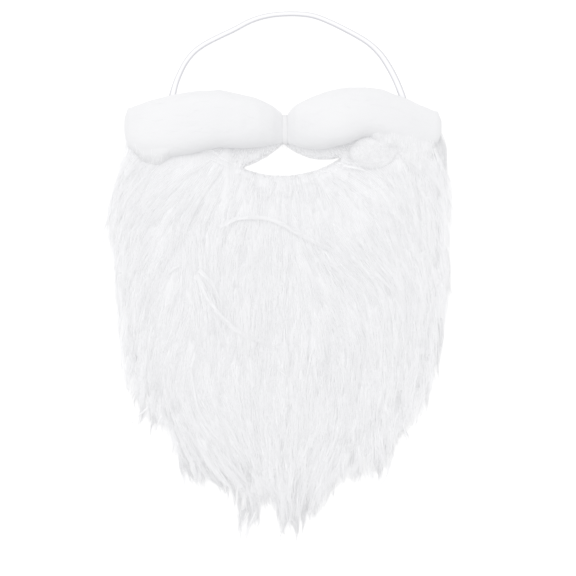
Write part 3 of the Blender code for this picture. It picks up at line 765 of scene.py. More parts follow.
def make_materials():
    """All the materials, by plain names."""
    MATERIALS["pile"] = cloth_material(
        "long_pile", (0.92, 0.925, 0.955), (0.95, 0.955, 0.98), 60, 0.55, 0.15
    )
    # The edge locks' material is much darker than the pile's: painted shade on the locks' tips.
    MATERIALS["tips"] = cloth_material(
        "pile_tips_painted_shade", (0.56, 0.565, 0.59), (0.76, 0.765, 0.79), 260, 0.55, 0.15
    )
    # The undercoat is much darker than the pile's fibres above it: painted shade of the deep pile under the
    # tufts.
    MATERIALS["undercoat"] = cloth_material(
        "pile_undercoat_painted_shade", (0.52, 0.525, 0.55), (0.64, 0.645, 0.67), 900, 0.8, 0.1,
        stretch=(1, 0.2, 1), bump=(0.8 * MM, 700),
    )
    MATERIALS["wadding"] = cloth_material(
        "wadding", (0.55, 0.555, 0.58), (0.60, 0.605, 0.625), 45, 0.8, 0.1,
        stretch=(0.4, 1, 1), bump=(0.5 * MM, 500),
    )
    # The loose wadding is a much lighter copy of the roll's wadding: painted light against the shade among
    # its fibres.
    MATERIALS["loose_wadding_painted_light"] = cloth_material(
        "loose_wadding_painted_light", (0.86, 0.865, 0.89), (0.93, 0.935, 0.955), 60, 0.8, 0.1
    )
    MATERIALS["knit"] = knit_material()
    MATERIALS["elastic"] = elastic_material()
    MATERIALS["thread"] = cloth_material(
        "tie_thread", (0.52, 0.52, 0.54), (0.62, 0.62, 0.64), 1500, 0.6, 0.1
    )


def make_camera():
    """A camera straight above, which sees the photograph's stretch of floor."""
    data = bpy.data.cameras.new("camera")
    data.sensor_width = SENSOR
    data.lens = SENSOR * CAMERA_HEIGHT / PICTURE_WIDTH
    data.clip_start = 0.05
    made = new_object("camera", data)
    made.location = (*CAMERA_OVER, CAMERA_HEIGHT)
    bpy.context.scene.camera = made


def elastic_middle():
    """The elastic's middle line, and how far the band leans on its edge along it."""
    route = smooth_path(ELASTIC_ROUTE, ELASTIC_RINGS)
    lean = np.radians(np.maximum(route[:, 2], 0))
    rest = (ELASTIC_WIDTH - ELASTIC_THICKNESS) / 2 * np.sin(lean) + ELASTIC_THICKNESS / 2
    down = np.clip((route[:, 1] - ELASTIC_LIFT_Y) / (ELASTIC_DOWN_Y - ELASTIC_LIFT_Y), 0, 1)
    height = ELASTIC_SEAT + (rest - ELASTIC_SEAT) * down
    return np.column_stack([route[:, :2], height]), lean


def elastic_profile():
    """Points round the band's section, with its ribs."""
    profile = []
    for face in (1, -1):
        for k in range(ELASTIC_RIBS * 4 + 1):
            across = 1 - 2 * k / (ELASTIC_RIBS * 4)
            rib = abs(math.sin(math.pi * ELASTIC_RIBS * (across + 1) / 2))
            rib = (1 - ELASTIC_RIB_DEPTH) + ELASTIC_RIB_DEPTH * rib
            edge = (1 - abs(across) ** 8) ** 0.5
            profile.append((face * across * ELASTIC_WIDTH / 2, face * ELASTIC_THICKNESS / 2 * rib * edge))
    return np.array(list(dict.fromkeys(profile)))


def make_elastic():
    """The braided elastic: a flat band with ribs along it, swept on its route."""
    middle, lean = elastic_middle()
    run = unit(np.gradient(middle, axis=0))
    flat = unit(np.cross(run, np.array([0.0, 0.0, 1.0])))
    up = np.cross(flat, run)
    wide = flat * np.cos(lean)[:, None] + up * np.sin(lean)[:, None]
    tall = np.cross(wide, run)
    profile = elastic_profile()
    points = middle[:, None] + wide[:, None] * profile[None, :, :1] + tall[:, None] * profile[None, :, 1:]
    sides = len(profile)
    faces = [(a, d, c, b) for a, b, c, d in ring_faces(ELASTIC_RINGS, sides)]
    faces.append(tuple(range(sides)))
    faces.append(tuple((ELASTIC_RINGS - 1) * sides + k for k in range(sides))[::-1])
    band = array_mesh("elastic", points.reshape(-1, 3), *flattened(faces))
    # across runs from the band's middle to its selvedges and drives the painted edge shade in the elastic's
    # material.
    across = band.data.attributes.new("across", "FLOAT", "POINT")
    across.data.foreach_set("value", np.tile(np.abs(profile[:, 0]) * 2 / ELASTIC_WIDTH, ELASTIC_RINGS))
    dress(band, "elastic")
    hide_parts("elastic_band")


def make_backing():
    """The knitted backing, in the CAD's own form."""
    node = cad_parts["backing_cloth"]
    made = new_object("backing", node.data.copy())
    dress(made, "knit")
    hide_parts("backing_cloth")


def make_undercoat(relief):
    """The dense pile under the loose tufts: a low closed body over the backing."""
    low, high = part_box("backing_cloth")
    xs = np.arange(low.x - UNDERCOAT_STEP, high.x + 2 * UNDERCOAT_STEP, UNDERCOAT_STEP)
    ys = np.arange(low.y - UNDERCOAT_STEP, high.y + 2 * UNDERCOAT_STEP, UNDERCOAT_STEP)
    rows, columns = len(ys), len(xs)
    places = np.stack(np.meshgrid(xs, ys), axis=2).reshape(-1, 2)
    covered = on_backing(places).reshape(rows, columns)
    inner = whole_cells(places, covered)
    depth = covered.astype(float)
    for _ in range(2):
        padded = np.pad(depth, 1)
        around = padded[:-2, 1:-1] + padded[2:, 1:-1] + padded[1:-1, :-2] + padded[1:-1, 2:]
        depth = covered * (around + 4 * depth) / 8
    pile = relief.at(places).reshape(rows, columns)
    near = below_mouth(places).reshape(rows, columns)
    part = UNDERCOAT_AT_MOUTH + (UNDERCOAT_SHARE - UNDERCOAT_AT_MOUTH) * near
    height = UNDERCOAT_FOOT + (pile - UNDERCOAT_FOOT) * part * np.clip(depth * 1.2 - 0.2, 0, 1)
    height = np.maximum(height, UNDERCOAT_FOOT + 0.2 * MM)
    number = np.arange(rows * columns).reshape(rows, columns)
    top = grid_faces(number)[inner]
    total = rows * columns
    faces = [top, top[:, ::-1] + total]
    outside = ~np.pad(inner, 1)
    ways = (
        (outside[:-2, 1:-1], number[:-1, :-1], number[:-1, 1:]),
        (outside[2:, 1:-1], number[1:, 1:], number[1:, :-1]),
        (outside[1:-1, :-2], number[1:, :-1], number[:-1, :-1]),
        (outside[1:-1, 2:], number[:-1, 1:], number[1:, 1:]),
    )
    for beyond, first, second in ways:
        edge = inner & beyond
        first, second = first[edge], second[edge]
        faces.append(np.stack([first, first + total, second + total, second], axis=1))
    faces = np.concatenate(faces)
    upper = np.concatenate([places, height.reshape(-1, 1)], axis=1)
    lower = np.concatenate([places, np.full((total, 1), UNDERCOAT_FOOT)], axis=1)
    points = np.concatenate([upper, lower])
    used, renumbered = np.unique(faces, return_inverse=True)
    starts = np.arange(len(faces)) * 4
    made = array_mesh("undercoat", points[used], starts, renumbered.ravel())
    dress(made, "undercoat")
    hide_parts("beard_pile")


def whole_cells(places, covered):
    """Which cells of the undercoat's grid lie on the cloth at their corners, sides and middle."""
    made = covered[:-1, :-1] & covered[1:, :-1] & covered[:-1, 1:] & covered[1:, 1:]
    for across, up in ((0.5, 0.0), (0.5, 1.0), (0.5, 0.5), (0.0, 0.5), (1.0, 0.5)):
        between = on_backing(places + np.array([across, up]) * UNDERCOAT_STEP)
        made &= between.reshape(covered.shape)[:-1, :-1]
    return made


def on_backing(points):
    """Which places lie on the backing's cloth."""
    tree = surface_of("backing_cloth")
    down = Vector((0, 0, -1))
    return np.array([tree.ray_cast(Vector((x, y, 1)), down)[0] is not None for x, y in points])


def tuft_roots():
    """Roots spread over the backing on a jittered grid, clear of the moustache's seat."""
    low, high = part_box("backing_cloth")
    rows = np.arange(low.y, high.y, TUFT_SPACING * TUFT_ROW)
    places = []
    for index, y in enumerate(rows):
        shift = TUFT_SPACING / 2 * (index % 2)
        xs = np.arange(low.x + shift, high.x, TUFT_SPACING)
        places.append(np.stack([xs, np.full(len(xs), y)], axis=1))
    places = np.concatenate(places)
    places += rng.uniform(-0.5, 0.5, places.shape) * TUFT_SPACING
    places = places[on_backing(places)]
    lip = (places[:, 1] > LIP_Y) & (np.abs(places[:, 0] - LIP_X) < LIP_HALF)
    end = np.abs(places[:, 0]) > SEAT_HALF
    return places[(places[:, 1] < np.where(end, END_ROOTS_Y, ROOTS_Y)) & ~lip]


def below_mouth(points):
    """How far places lie under the mouth, as a share of where the pile gets its full length."""
    aside = np.abs(points[:, 0] - MOUTH_X)
    chin = CHIN_Y + CHIN_RISE * (aside / CHIN_HALF) ** 2
    under = (chin - points[:, 1]) / MOUTH_SHORTENS
    return np.where(aside < MOUTH_REACH, np.clip(under, 0, 1), 1)


def fanned(paths, edge):
    """Paths that keep inside the outline, the ones near it spread so that they fill it."""
    depth, inward = edge.depth(paths)
    share = np.linspace(0, 1, paths.shape[1])[None]
    side = (paths[..., 1] > LOW_EDGE_Y) & (paths[..., 1] < FAN_TOP_Y)
    tip_depth = rng.uniform(*FAN_TIP_DEPTH, len(paths))[:, None]
    fans = (depth[:, :1] < FAN_DEPTH) & side & (depth > tip_depth)
    outward = np.where(fans, (depth - tip_depth) * share**1.3, 0)
    paths = paths - inward * outward[..., None]
    depth, inward = edge.depth(paths)
    margin = rng.uniform(0.0, EDGE_MARGIN, len(paths))[:, None]
    back = np.where((paths[..., 1] > LOW_EDGE_Y), np.clip(margin - depth, 0, None), 0)
    return paths + inward * back[..., None]


def make_pile(relief):
    """The loose tufts over the whole backing."""
    roots = tuft_roots()
    count = len(roots)
    lengths = rng.uniform(*TUFT_LENGTH, count)
    lengths *= 0.32 + 0.68 * below_mouth(roots)
    turn = rng.normal(0, 0.10, count)
    paths = flow_paths(roots, lengths, TUFT_POINTS, turn)
    edge = Edge(PILE_EDGE)
    depth = edge.depth(paths)[0]
    out = (depth < 0) & (paths[..., 1] < LOW_EDGE_Y)
    reach = np.where(out.any(axis=1), out.argmax(axis=1), TUFT_POINTS)
    shorter = np.clip((reach - 0.4) / (TUFT_POINTS - 1), 0.15, 1)
    lengths = lengths * shorter
    paths = flow_paths(roots, lengths, TUFT_POINTS, turn)
    paths = wave_along(
        paths,
        lengths,
        rng.uniform(*TUFT_WAVE, count),
        rng.uniform(*TUFT_WAVE_LENGTH, count),
        6 * lumps(np.column_stack([roots, np.zeros(count)]), 30 * MM, 11) * math.pi
        + rng.normal(0, TUFT_PHASE_SPREAD, count),
    )
    paths = fanned(paths, edge)
    share = np.linspace(0, 1, TUFT_POINTS)
    level = rng.uniform(*TUFT_LEVEL, count)
    rise = np.clip(share / 0.22, 0, 1) ** 0.7
    droop = 1 - 0.25 * np.clip((share - 0.7) / 0.3, 0, 1) ** 2
    top = np.maximum(relief.at(paths), 2.2 * MM)
    height = 1.6 * MM + (top - 1.6 * MM) * level[:, None] * (rise * droop)[None]
    spines = np.concatenate([paths, height[..., None]], axis=2)
    strands = bundle(spines, rng.uniform(0.6, 1.1, count) * TUFT_RADIUS, TUFT_FIBRES, 0.55, 0.9 * MM)
    strands = trimmed(strands, 0.78, 1.0)
    strands[..., 2] = np.maximum(strands[..., 2], 0.5 * MM)
    print(f"pile: {count} tufts, {len(strands)} fibres")
    order = rng.permutation(len(strands))
    for index, part in enumerate(np.array_split(order, PILE_PIECES)):
        radii = taper(len(part), TUFT_POINTS, FIBRE_RADIUS, FIBRE_TIP)
        dress(fibres(f"pile_{index + 1}", strands[part], radii), "pile")


def make_short_pile(relief):
    """The short pile on the strip over the mouth and along the chin's cut edge."""
    xs = np.arange(-52 * MM, 60 * MM, SHORT_SPACING)
    ys = np.arange(78 * MM, 122 * MM, SHORT_SPACING)
    roots = np.stack(np.meshgrid(xs, ys), axis=2).reshape(-1, 2)
    roots = roots + rng.uniform(-0.5, 0.5, roots.shape) * SHORT_SPACING
    roots = roots[on_backing(roots)]
    near = below_mouth(roots)
    roots = roots[near < 0.8]
    count = len(roots)
    lip = roots[:, 1] > CHIN_Y + 0.10 * np.abs(roots[:, 0] - MOUTH_X)
    lengths = np.where(lip, rng.uniform(*LIP_LENGTH, count), rng.uniform(*CHIN_LENGTH, count))
    turn = rng.normal(0, 0.25, count)
    for _ in range(3):
        along = flow_paths(roots, lengths, SHORT_POINTS + 2, turn)
        kept = on_backing(along.reshape(-1, 2)).reshape(along.shape[:2]).all(axis=1)
        lengths = np.where(kept, lengths, lengths * 0.5)
    paths = flow_paths(roots, lengths, SHORT_POINTS, turn)
    share = np.linspace(0, 1, SHORT_POINTS)
    top = relief.at(paths) * rng.uniform(0.45, 0.8, count)[:, None]
    height = 2.0 * MM + np.maximum(top - 2.0 * MM, 1.2 * MM) * np.sin(share * 2.6)[None]
    spines = np.concatenate([paths, height[..., None]], axis=2)
    strands = bundle(spines, np.where(lip, 0.5 * MM, 1.2 * MM), SHORT_FIBRES, 0.6, 0.2 * MM)
    strands = trimmed(strands, 0.7, 1.0)
    radii = taper(len(strands), SHORT_POINTS, FIBRE_RADIUS, FIBRE_TIP)
    print(f"short pile: {len(strands)} fibres")
    dress(fibres("short_pile", strands, radii), "pile")


def make_edge_locks(relief):
    """The pointed locks round the lower edge and the sides, each parted into a few strands."""
    made = []
    share = np.linspace(0, 1, EDGE_POINTS)
    for lock in EDGE_LOCKS:
        start = np.array([lock.root_x, lock.root_y]) * MM
        end = np.array([lock.tip_x, lock.tip_y]) * MM
        length = np.linalg.norm(end - start)
        run = (end - start) / length
        side = np.array([-run[1], run[0]])
        width = lock.width * MM
        for part in range(EDGE_PARTS):
            main = part == 0
            root = start + side * width * (0 if main else rng.uniform(-0.40, 0.40))
            tip = end
            if not main:
                tip = end + side * width * rng.uniform(-0.5, 0.5) - run * length * rng.uniform(0.03, 0.3)
            sway = -lock.sway * MM * rng.uniform(0.7, 1.3) * np.sin(math.tau * share)
            curl = rng.uniform(0.6, 1.6) * MM
            curl = curl * np.sin(share * rng.uniform(7, 12) + rng.uniform(0, 6)) * share
            flat = root + (tip - root) * share[:, None] + side * (sway + curl)[:, None]
            top = relief.at(flat)
            height = np.maximum(top * rng.uniform(0.6, 0.95), 2 * MM) * (1 - 0.6 * share**2)
            spine = np.concatenate([flat, height[:, None]], axis=1)[None]
            radius = np.array([width * (0.34 if main else 0.27)])
            group = bundle(spine, radius, lock.fibres // EDGE_PARTS, 0.10, 0.7 * MM)
            made.append(trimmed(group, 0.7, 1.0))
    strands = np.concatenate(made)
    strands[..., 2] = np.maximum(strands[..., 2], 0.4 * MM)
    radii = taper(len(strands), EDGE_POINTS, FIBRE_RADIUS * 0.85, FIBRE_TIP)
    print(f"edge locks: {len(strands)} fibres")
    # The locks' darker colour is painted shade.
    dress(fibres("edge_locks", strands, radii), "tips")


def make_wisps(relief):
    """The stray bright wisps on top of the pile."""
    made = []
    steps = 16
    for wisp in WISPS:
        flat = smooth_path(np.array(wisp.points, float) * MM, steps)
        share = np.linspace(0, 1, steps)
        height = relief.at(flat) + 1.8 * MM * np.sin(math.pi * share) + 0.6 * MM
        spine = np.concatenate([flat, height[:, None]], axis=1)[None]
        group = bundle(spine, np.array([wisp.width * MM]), wisp.fibres, 0.35, 1.0 * MM)
        made.append(trimmed(group, 0.6, 1.0))
    strands = np.concatenate(made)
    radii = taper(len(strands), steps, FIBRE_RADIUS * 0.9, FIBRE_TIP)
    dress(fibres("stray_wisps", strands, radii), "pile")


def moustache_form():
    """The roll's surface as rings of points, read off the CAD roll by rays from its middle line."""
    tree = surface_of("moustache")
    low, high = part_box("moustache")
    ends = 1.2 * MM
    even = np.linspace(-1, 1, MOUSTACHE_STATIONS)
    even = 0.65 * even + 0.35 * even**3
    xs = np.where(even < 0, -even * (low.x + ends / 4), even * (high.x - ends / 4))
    middles = []
    for x in xs:
        top = tree.ray_cast(Vector((x, 0.128, 1)), Vector((0, 0, -1)))[0]
        bottom = tree.ray_cast(Vector((x, 0.128, -1)), Vector((0, 0, 1)))[0]
        height = (top.z + bottom.z) / 2
        back = tree.ray_cast(Vector((x, 1, height)), Vector((0, -1, 0)))[0]
        front = tree.ray_cast(Vector((x, -1, height)), Vector((0, 1, 0)))[0]
        middles.append((x, (back.y + front.y) / 2, height))
    middles = np.array(middles)
    turns = np.linspace(0, math.tau, MOUSTACHE_SIDES, endpoint=False)
    reach = np.zeros((MOUSTACHE_STATIONS, MOUSTACHE_SIDES))
    for row, middle in enumerate(middles):
        for column, turn in enumerate(turns):
            ray = Vector((0, math.cos(turn), math.sin(turn)))
            place = tree.ray_cast(Vector(middle), ray)[0]
            reach[row, column] = (place - Vector(middle)).length if place else 1 * MM
    waist = reach
    for _ in range(ROLL_SMOOTHING):
        padded = np.pad(reach, ((1, 1), (0, 0)), mode="edge")
        reach = (padded[:-2] + 2 * padded[1:-1] + padded[2:]) / 4
        reach = (np.roll(reach, 1, axis=1) + 2 * reach + np.roll(reach, -1, axis=1)) / 4
    kept = np.exp(-((xs / PINCH_KEEPS) ** 2))[:, None]
    reach = waist * kept + reach * (1 - kept)
    away = np.abs(xs) - PINCH_HALF
    swell = PINCH_SWELL * np.clip(away / PINCH_STEEP, 0, 1) ** 0.5
    swell = swell * np.exp(-np.clip(away, 0, None) / PINCH_FADE)
    swell = swell[:, None] * (0.2 + 0.8 * (0.5 + 0.5 * np.cos(turns - 0.5)))
    inset = np.minimum(xs - xs[0], xs[-1] - xs) + 0.15 * MM
    cap = (1 - (1 - np.clip(inset / ROLL_END, 0, 1)) ** 2.4) ** 0.42
    return middles, turns, (reach + swell) * cap[:, None]


def lumps(points, scale, seed):
    """Soft random unevenness, from -1 to 1, as a sum of a few slanted waves."""
    local = np.random.default_rng(seed)
    total = np.zeros(len(points))
    for _ in range(14):
        way = local.normal(0, 1, 3)
        way *= math.tau / scale / np.linalg.norm(way) * local.uniform(0.6, 1.6)
        total += np.sin(points @ way + local.uniform(0, math.tau))
    return total / 14


def make_moustache(relief):
    """The wadding roll, with soft lumps and rounded ends, and its fuzz."""
    middles, turns, reach = moustache_form()
    stations = len(middles)
    ring = np.stack([np.zeros_like(turns), np.cos(turns), np.sin(turns)], axis=1)
    points = middles[:, None] + ring[None] * reach[..., None]
    flat = points.reshape(-1, 3)
    bump = 0.9 * MM * lumps(flat, 24 * MM, 5) + 0.5 * MM * lumps(flat, 9 * MM, 6)
    reach = reach + bump.reshape(reach.shape) * 0.6 + 0.2 * MM
    points = middles[:, None] + ring[None] * reach[..., None]
    caps = np.array([middles[0], middles[-1]])
    caps[0, 0] -= 0.2 * MM
    caps[1, 0] += 0.2 * MM
    vertices = np.concatenate([points.reshape(-1, 3), caps])
    faces = ring_faces(stations, MOUSTACHE_SIDES)
    first, last = len(vertices) - 2, len(vertices) - 1
    base = (stations - 1) * MOUSTACHE_SIDES
    for k in range(MOUSTACHE_SIDES):
        after = (k + 1) % MOUSTACHE_SIDES
        faces.append((after, k, first))
        faces.append((base + k, base + after, last))
    roll = array_mesh("moustache_roll", vertices, *flattened(faces))
    dress(roll, "wadding")
    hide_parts("moustache")
    make_fuzz(points)
    make_drapes(points, relief)


def make_skirt(points, relief, skirt):
    """A slope of wadding from the roll's lower side down onto the pile, and points spread on it."""
    stations, sides = points.shape[:2]
    xs = np.linspace(skirt.left, skirt.right, SKIRT_STATIONS) * MM
    row = np.interp(xs, points[:, 0, 0], np.arange(stations))
    low = np.clip(row.astype(int), 0, stations - 2)
    part = (row - low)[:, None]
    column = int(SKIRT_FROM / 360 * sides)
    upper = points[low, column] * (1 - part) + points[low + 1, column] * part
    inner = points[low, column - 3] * (1 - part) + points[low + 1, column - 3] * part
    fade = np.sin(math.pi * np.clip(np.linspace(0, 1, SKIRT_STATIONS), 0.02, 0.98))
    reach = skirt.reach * MM * fade * (1 + 1.4 * lumps(upper, 26 * MM, 17))
    fall = (upper - inner) * 1.6 * fade[:, None]
    foot = upper.copy()
    foot[:, 1] += fall[:, 1] - reach
    foot[:, 2] = relief.at(foot) - 0.6 * MM
    bend = upper + fall
    share = np.linspace(0, 1, SKIRT_STEPS)[None, :, None]
    top = (1 - share) ** 2 * upper[:, None] + 2 * share * (1 - share) * bend[:, None]
    top += share**2 * foot[:, None]
    uneven = lumps(top.reshape(-1, 3), 13 * MM, 23).reshape(top.shape[:2])
    top[..., 2] += SKIRT_LUMPS * 3 * uneven * np.sin(math.pi * share[..., 0])
    top[..., 2] += SKIRT_LUMPS * (fade[:, None] - 1)
    top[:, 0] = inner
    top[..., 2] = np.maximum(top[..., 2], SKIRT_LOWEST + 0.6 * MM)
    under = top.copy()
    under[..., 2] = np.maximum(under[..., 2] - SKIRT_DEPTH, SKIRT_LOWEST)
    under[:, 0, 2] = inner[:, 2] - 0.2 * MM
    return top, under


def closed_strip(name, top, under):
    """A closed skin between two grids of points, an upper and a lower one."""
    stations, steps = top.shape[:2]
    count = stations * steps
    number = np.arange(count).reshape(stations, steps)
    upper = grid_faces(number).reshape(-1, 4)
    lower = upper[:, ::-1] + count
    rim = np.concatenate([number[:-1, 0], number[-1, :-1], number[:0:-1, -1], number[0, :0:-1]])
    after = np.roll(rim, -1)
    side = np.stack([rim, after, after + count, rim + count], axis=1)
    faces = np.concatenate([upper, lower, side])
    points = np.concatenate([top.reshape(-1, 3), under.reshape(-1, 3)])
    return array_mesh(name, points, np.arange(len(faces)) * 4, faces.ravel())


def make_drapes(points, relief):
    """The wadding that has come loose under the roll: its slopes, its puff and their fibres."""
    made = []
    for index, skirt in enumerate(SKIRTS):
        top, under = make_skirt(points, relief, skirt)
        slope = closed_strip(f"wadding_slope_{index + 1}", top, under)
        dress(slope, "wadding")
        made.append(slope_fibres(top, relief, skirt.fibres))
    made.append(make_puff(relief))
    paths = np.concatenate(made)
    radii = taper(len(paths), DRAPE_POINTS, DRAPE_RADIUS, 0.4)
    # Their lighter colour is painted light.
    dress(fibres("moustache_drapes", paths, radii), "loose_wadding_painted_light")


def slope_fibres(top, relief, count):
    """Fibres that lie down a slope of wadding and run out on the pile."""
    station = 1 + rng.beta(2, 2, count) * (SKIRT_STATIONS - 3)
    start = rng.uniform(0, 1, count) ** 0.6 * (SKIRT_STEPS - 2)
    length = rng.uniform(*DRAPE_LENGTH, count)
    width = np.linalg.norm(top[:, -1] - top[:, 0], axis=1).mean()
    share = np.linspace(0, 1, DRAPE_POINTS)[None]
    down = start[:, None] + share * (length / width * SKIRT_STEPS)[:, None]
    along = station[:, None] + share * rng.normal(0, 1.6, count)[:, None]
    along = np.clip(along, 0, SKIRT_STATIONS - 1.001)
    beyond = np.clip(down - (SKIRT_STEPS - 1), 0, None) * width / SKIRT_STEPS
    down = np.clip(down, 0, SKIRT_STEPS - 1.001)
    low, left = along.astype(int), down.astype(int)
    across, up = (along - low)[..., None], (down - left)[..., None]
    path = (top[low, left] * (1 - up) + top[low, left + 1] * up) * (1 - across)
    path += (top[low + 1, left] * (1 - up) + top[low + 1, left + 1] * up) * across
    path[..., 1] -= beyond
    ground = relief.at(path) + 0.4 * MM
    lift = rng.uniform(0, 0.8 * MM, count)[:, None] * np.sin(math.pi * share)
    path[..., 2] = np.where(beyond > 0, ground, path[..., 2]) + lift
    return path


def make_puff(relief):
    """The puff of loose wadding, as a soft lump, and the curly fibres round it."""
    turns = np.linspace(0, math.tau, PUFF_SIDES, endpoint=False)
    rings = np.linspace(0.04, 1, PUFF_RINGS)
    flat = np.stack([np.cos(turns), np.sin(turns)], axis=1)
    places = flat[None] * rings[:, None, None] * PUFF_SIZE + PUFF_CENTRE
    top = np.concatenate([places, puff_height(places, relief)[..., None]], axis=2)
    under = top.copy()
    under[..., 2] = np.minimum(under[..., 2] - 0.5 * MM, relief.at(places) - PUFF_SUNK)
    dress(puff_body(top, under), "wadding")
    count = PUFF_FIBRES
    turn = rng.uniform(0, math.tau, count)
    far = np.sqrt(rng.uniform(0, 1, count))
    middle = np.stack([np.cos(turn), np.sin(turn)], axis=1) * far[:, None] * PUFF_SIZE + PUFF_CENTRE
    heading = rng.uniform(0, math.tau, count)[:, None]
    share = np.linspace(-1, 1, DRAPE_POINTS)[None]
    heading = heading + rng.uniform(-1.8, 1.8, count)[:, None] * share
    half = rng.uniform(1.5 * MM, 4.0 * MM, count)[:, None]
    x = middle[:, :1] + np.cumsum(np.cos(heading), axis=1) * half / 3
    y = middle[:, 1:] + np.cumsum(np.sin(heading), axis=1) * half / 3
    z = puff_height(np.stack([x, y], axis=2), relief)
    z += rng.uniform(0.1, 0.7, count)[:, None] * MM
    return np.stack([x, y, z], axis=2)


def puff_height(places, relief):
    """How high the puff's lumpy top stands over an array of places."""
    away = np.linalg.norm((places - PUFF_CENTRE) / PUFF_SIZE, axis=-1)
    dome = np.clip(1 - away**2, 0, 1) ** 0.75
    ground = relief.at(places)
    spread = np.concatenate([places, 0 * places[..., :1]], axis=-1).reshape(-1, 3)
    uneven = lumps(spread, 10 * MM, 29).reshape(dome.shape)
    return ground + (PUFF_TOP - ground + PUFF_LUMPS * uneven) * dome


def puff_body(top, under):
    """A closed skin over two stacks of rings that share their rim, from the middle outwards."""
    rings, sides = top.shape[:2]
    count = rings * sides
    number = np.arange(count).reshape(rings, sides)
    near, far = number[:-1], number[1:]
    upper = np.stack([near, far, np.roll(far, -1, axis=1), np.roll(near, -1, axis=1)], axis=2).reshape(-1, 4)
    lower = upper[:, ::-1] + count
    rim, after = number[-1], np.roll(number[-1], -1)
    side = np.stack([rim, rim + count, after + count, after], axis=1)
    faces = np.concatenate([upper, lower, side]).tolist()
    faces += [number[0].tolist(), (number[0] + count)[::-1].tolist()]
    points = np.concatenate([top.reshape(-1, 3), under.reshape(-1, 3)])
    return array_mesh("wadding_puff", points, *flattened(faces))


def make_fuzz(points):
    """Fine fibres that lie along the wadding and lift a little off it."""
    stations, sides = points.shape[:2]
    row = rng.integers(2, stations - 10, FUZZ_FIBRES)
    column = rng.integers(0, sides, FUZZ_FIBRES)
    reach = rng.integers(3, 9, FUZZ_FIBRES)
    drift = rng.normal(0, 2.0, FUZZ_FIBRES)
    share = np.linspace(0, 1, FUZZ_POINTS)
    rows = np.clip(row[:, None] + share[None] * reach[:, None], 0, stations - 1.001)
    columns = column[:, None] + share[None] * drift[:, None]
    low = rows.astype(int)
    part = (rows - low)[..., None]
    first = np.floor(columns).astype(int)
    across = (columns - first)[..., None]
    corner = points[low, first % sides] * (1 - across) + points[low, (first + 1) % sides] * across
    ahead = points[low + 1, first % sides] * (1 - across) + points[low + 1, (first + 1) % sides] * across
    paths = corner * (1 - part) + ahead * part
    centre = points.mean(axis=1)
    inside = centre[low] * (1 - part) + centre[np.minimum(low + 1, stations - 1)] * part
    out = unit(paths - inside)
    lift = rng.uniform(0.0, 0.2 * MM, FUZZ_FIBRES)[:, None] * np.sin(math.pi * share)[None] - 0.02 * MM
    paths = paths + out * lift[..., None]
    radii = taper(FUZZ_FIBRES, FUZZ_POINTS, FUZZ_RADIUS, 0.4)
    dress(fibres("moustache_fuzz", paths, radii), "wadding")


def make_tie():
    """The tie: thread wound round the moustache's waist, with its two cut ends."""
    tree = surface_of("centre_tie")
    low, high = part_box("centre_tie")
    middle = (low + high) / 2
    count = TIE_TURNS * TIE_POINTS_A_TURN
    paths = []
    for index in range(count + 1):
        turn = math.tau * index / TIE_POINTS_A_TURN
        way = Vector((0, math.cos(turn), math.sin(turn)))
        surface = tree.ray_cast(middle + way * 0.05, -way)[0]
        reach = (surface - middle).length - TIE_THREAD
        across = (2 * index / count - 1) * (TIE_HALF - TIE_THREAD)
        paths.append(middle + way * reach + Vector((across, 0, 0)))
    coil = tube("tie_thread", np.array(paths), TIE_THREAD)
    ends = []
    for side, run in TIE_ENDS:
        start = np.array([side * 0.4 * MM, low.y + 0.6 * MM, TIE_END_HEIGHT])
        steps = np.linspace(0, 1, 8)[:, None]
        bend = np.array([side * TIE_END_BEND, 0, 0]) * np.sin(steps * math.pi)
        ends.append(start + np.array(run) * MM * steps + bend)
    pieces = [coil] + [tube("tie_end", path, TIE_THREAD * 0.8) for path in ends]
    with bpy.context.temp_override(
        active_object=coil, selected_editable_objects=pieces, selected_objects=pieces
    ):
        bpy.ops.object.join()
    dress(coil, "thread")
    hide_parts("centre_tie")


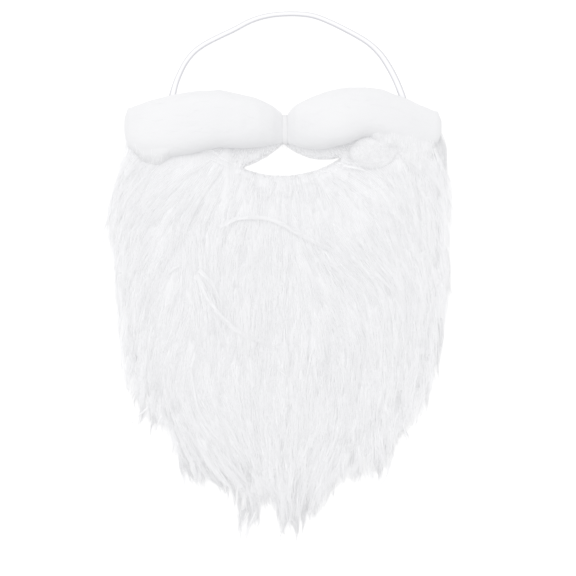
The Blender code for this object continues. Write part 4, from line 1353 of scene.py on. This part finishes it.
def tube(name, path, radius, sides=6):
    """A round closed tube along a path."""
    run = unit(np.gradient(path, axis=0))
    first = unit(np.cross(run, np.array([1.0, 0.0, 0.0])))
    second = np.cross(run, first)
    turns = np.linspace(0, math.tau, sides, endpoint=False)[None, :, None]
    points = path[:, None] + radius * (np.cos(turns) * first[:, None] + np.sin(turns) * second[:, None])
    return array_mesh(name, points.reshape(-1, 3), *flattened(tube_faces(len(path), sides)))


def make_studio():
    """The pale floor and the soft light."""
    data = bpy.data.meshes.new("floor")
    corners = ((-1, -1), (1, -1), (1, 1), (-1, 1))
    data.from_pydata([(x * FLOOR_HALF, y * FLOOR_HALF, FLOOR_Z) for x, y in corners], [], [(0, 1, 2, 3)])
    floor = new_object("floor", data)
    made = bpy.data.materials.new("floor_paper")
    made.use_nodes = True
    shader = made.node_tree.nodes["Principled BSDF"]
    shader.inputs["Base Color"].default_value = (*FLOOR_COLOUR, 1)
    shader.inputs["Roughness"].default_value = 0.9
    shader.inputs["Specular IOR Level"].default_value = 0.1
    shader.inputs["Emission Color"].default_value = (1, 1, 1, 1)
    shader.inputs["Emission Strength"].default_value = FLOOR_GLOW
    data.materials.append(made)

    world = bpy.data.worlds.new("studio")
    world.use_nodes = True
    background = world.node_tree.nodes["Background"]
    background.inputs["Color"].default_value = (*WORLD_COLOUR, 1)
    background.inputs["Strength"].default_value = WORLD_STRENGTH
    bpy.context.scene.world = world

    lamp = bpy.data.lights.new("key", "AREA")
    lamp.shape = "DISK"
    lamp.size = KEY_SIZE
    lamp.energy = KEY_POWER
    key = new_object("key", lamp)
    key.location = KEY_PLACE
    aim = Vector(KEY_AIM) - Vector(KEY_PLACE)
    key.rotation_euler = aim.to_track_quat("-Z", "Y").to_euler()

    view = bpy.context.scene.view_settings
    view.view_transform = "Standard"
    view.look = "None"
    view.gamma = VIEW_GAMMA
    bpy.context.scene.cycles.diffuse_bounces = DIFFUSE_BOUNCES


make_materials()
make_camera()
make_elastic()
make_studio()
pile_top = Relief("beard_pile")
soft_top = pile_top.filled(7).blurred(4).combed(LOCK_RISE).parted(PARTINGS)
make_backing()
make_undercoat(soft_top)
make_pile(soft_top)
make_short_pile(soft_top)
make_edge_locks(soft_top)
make_wisps(soft_top)
make_moustache(soft_top)
make_tie()
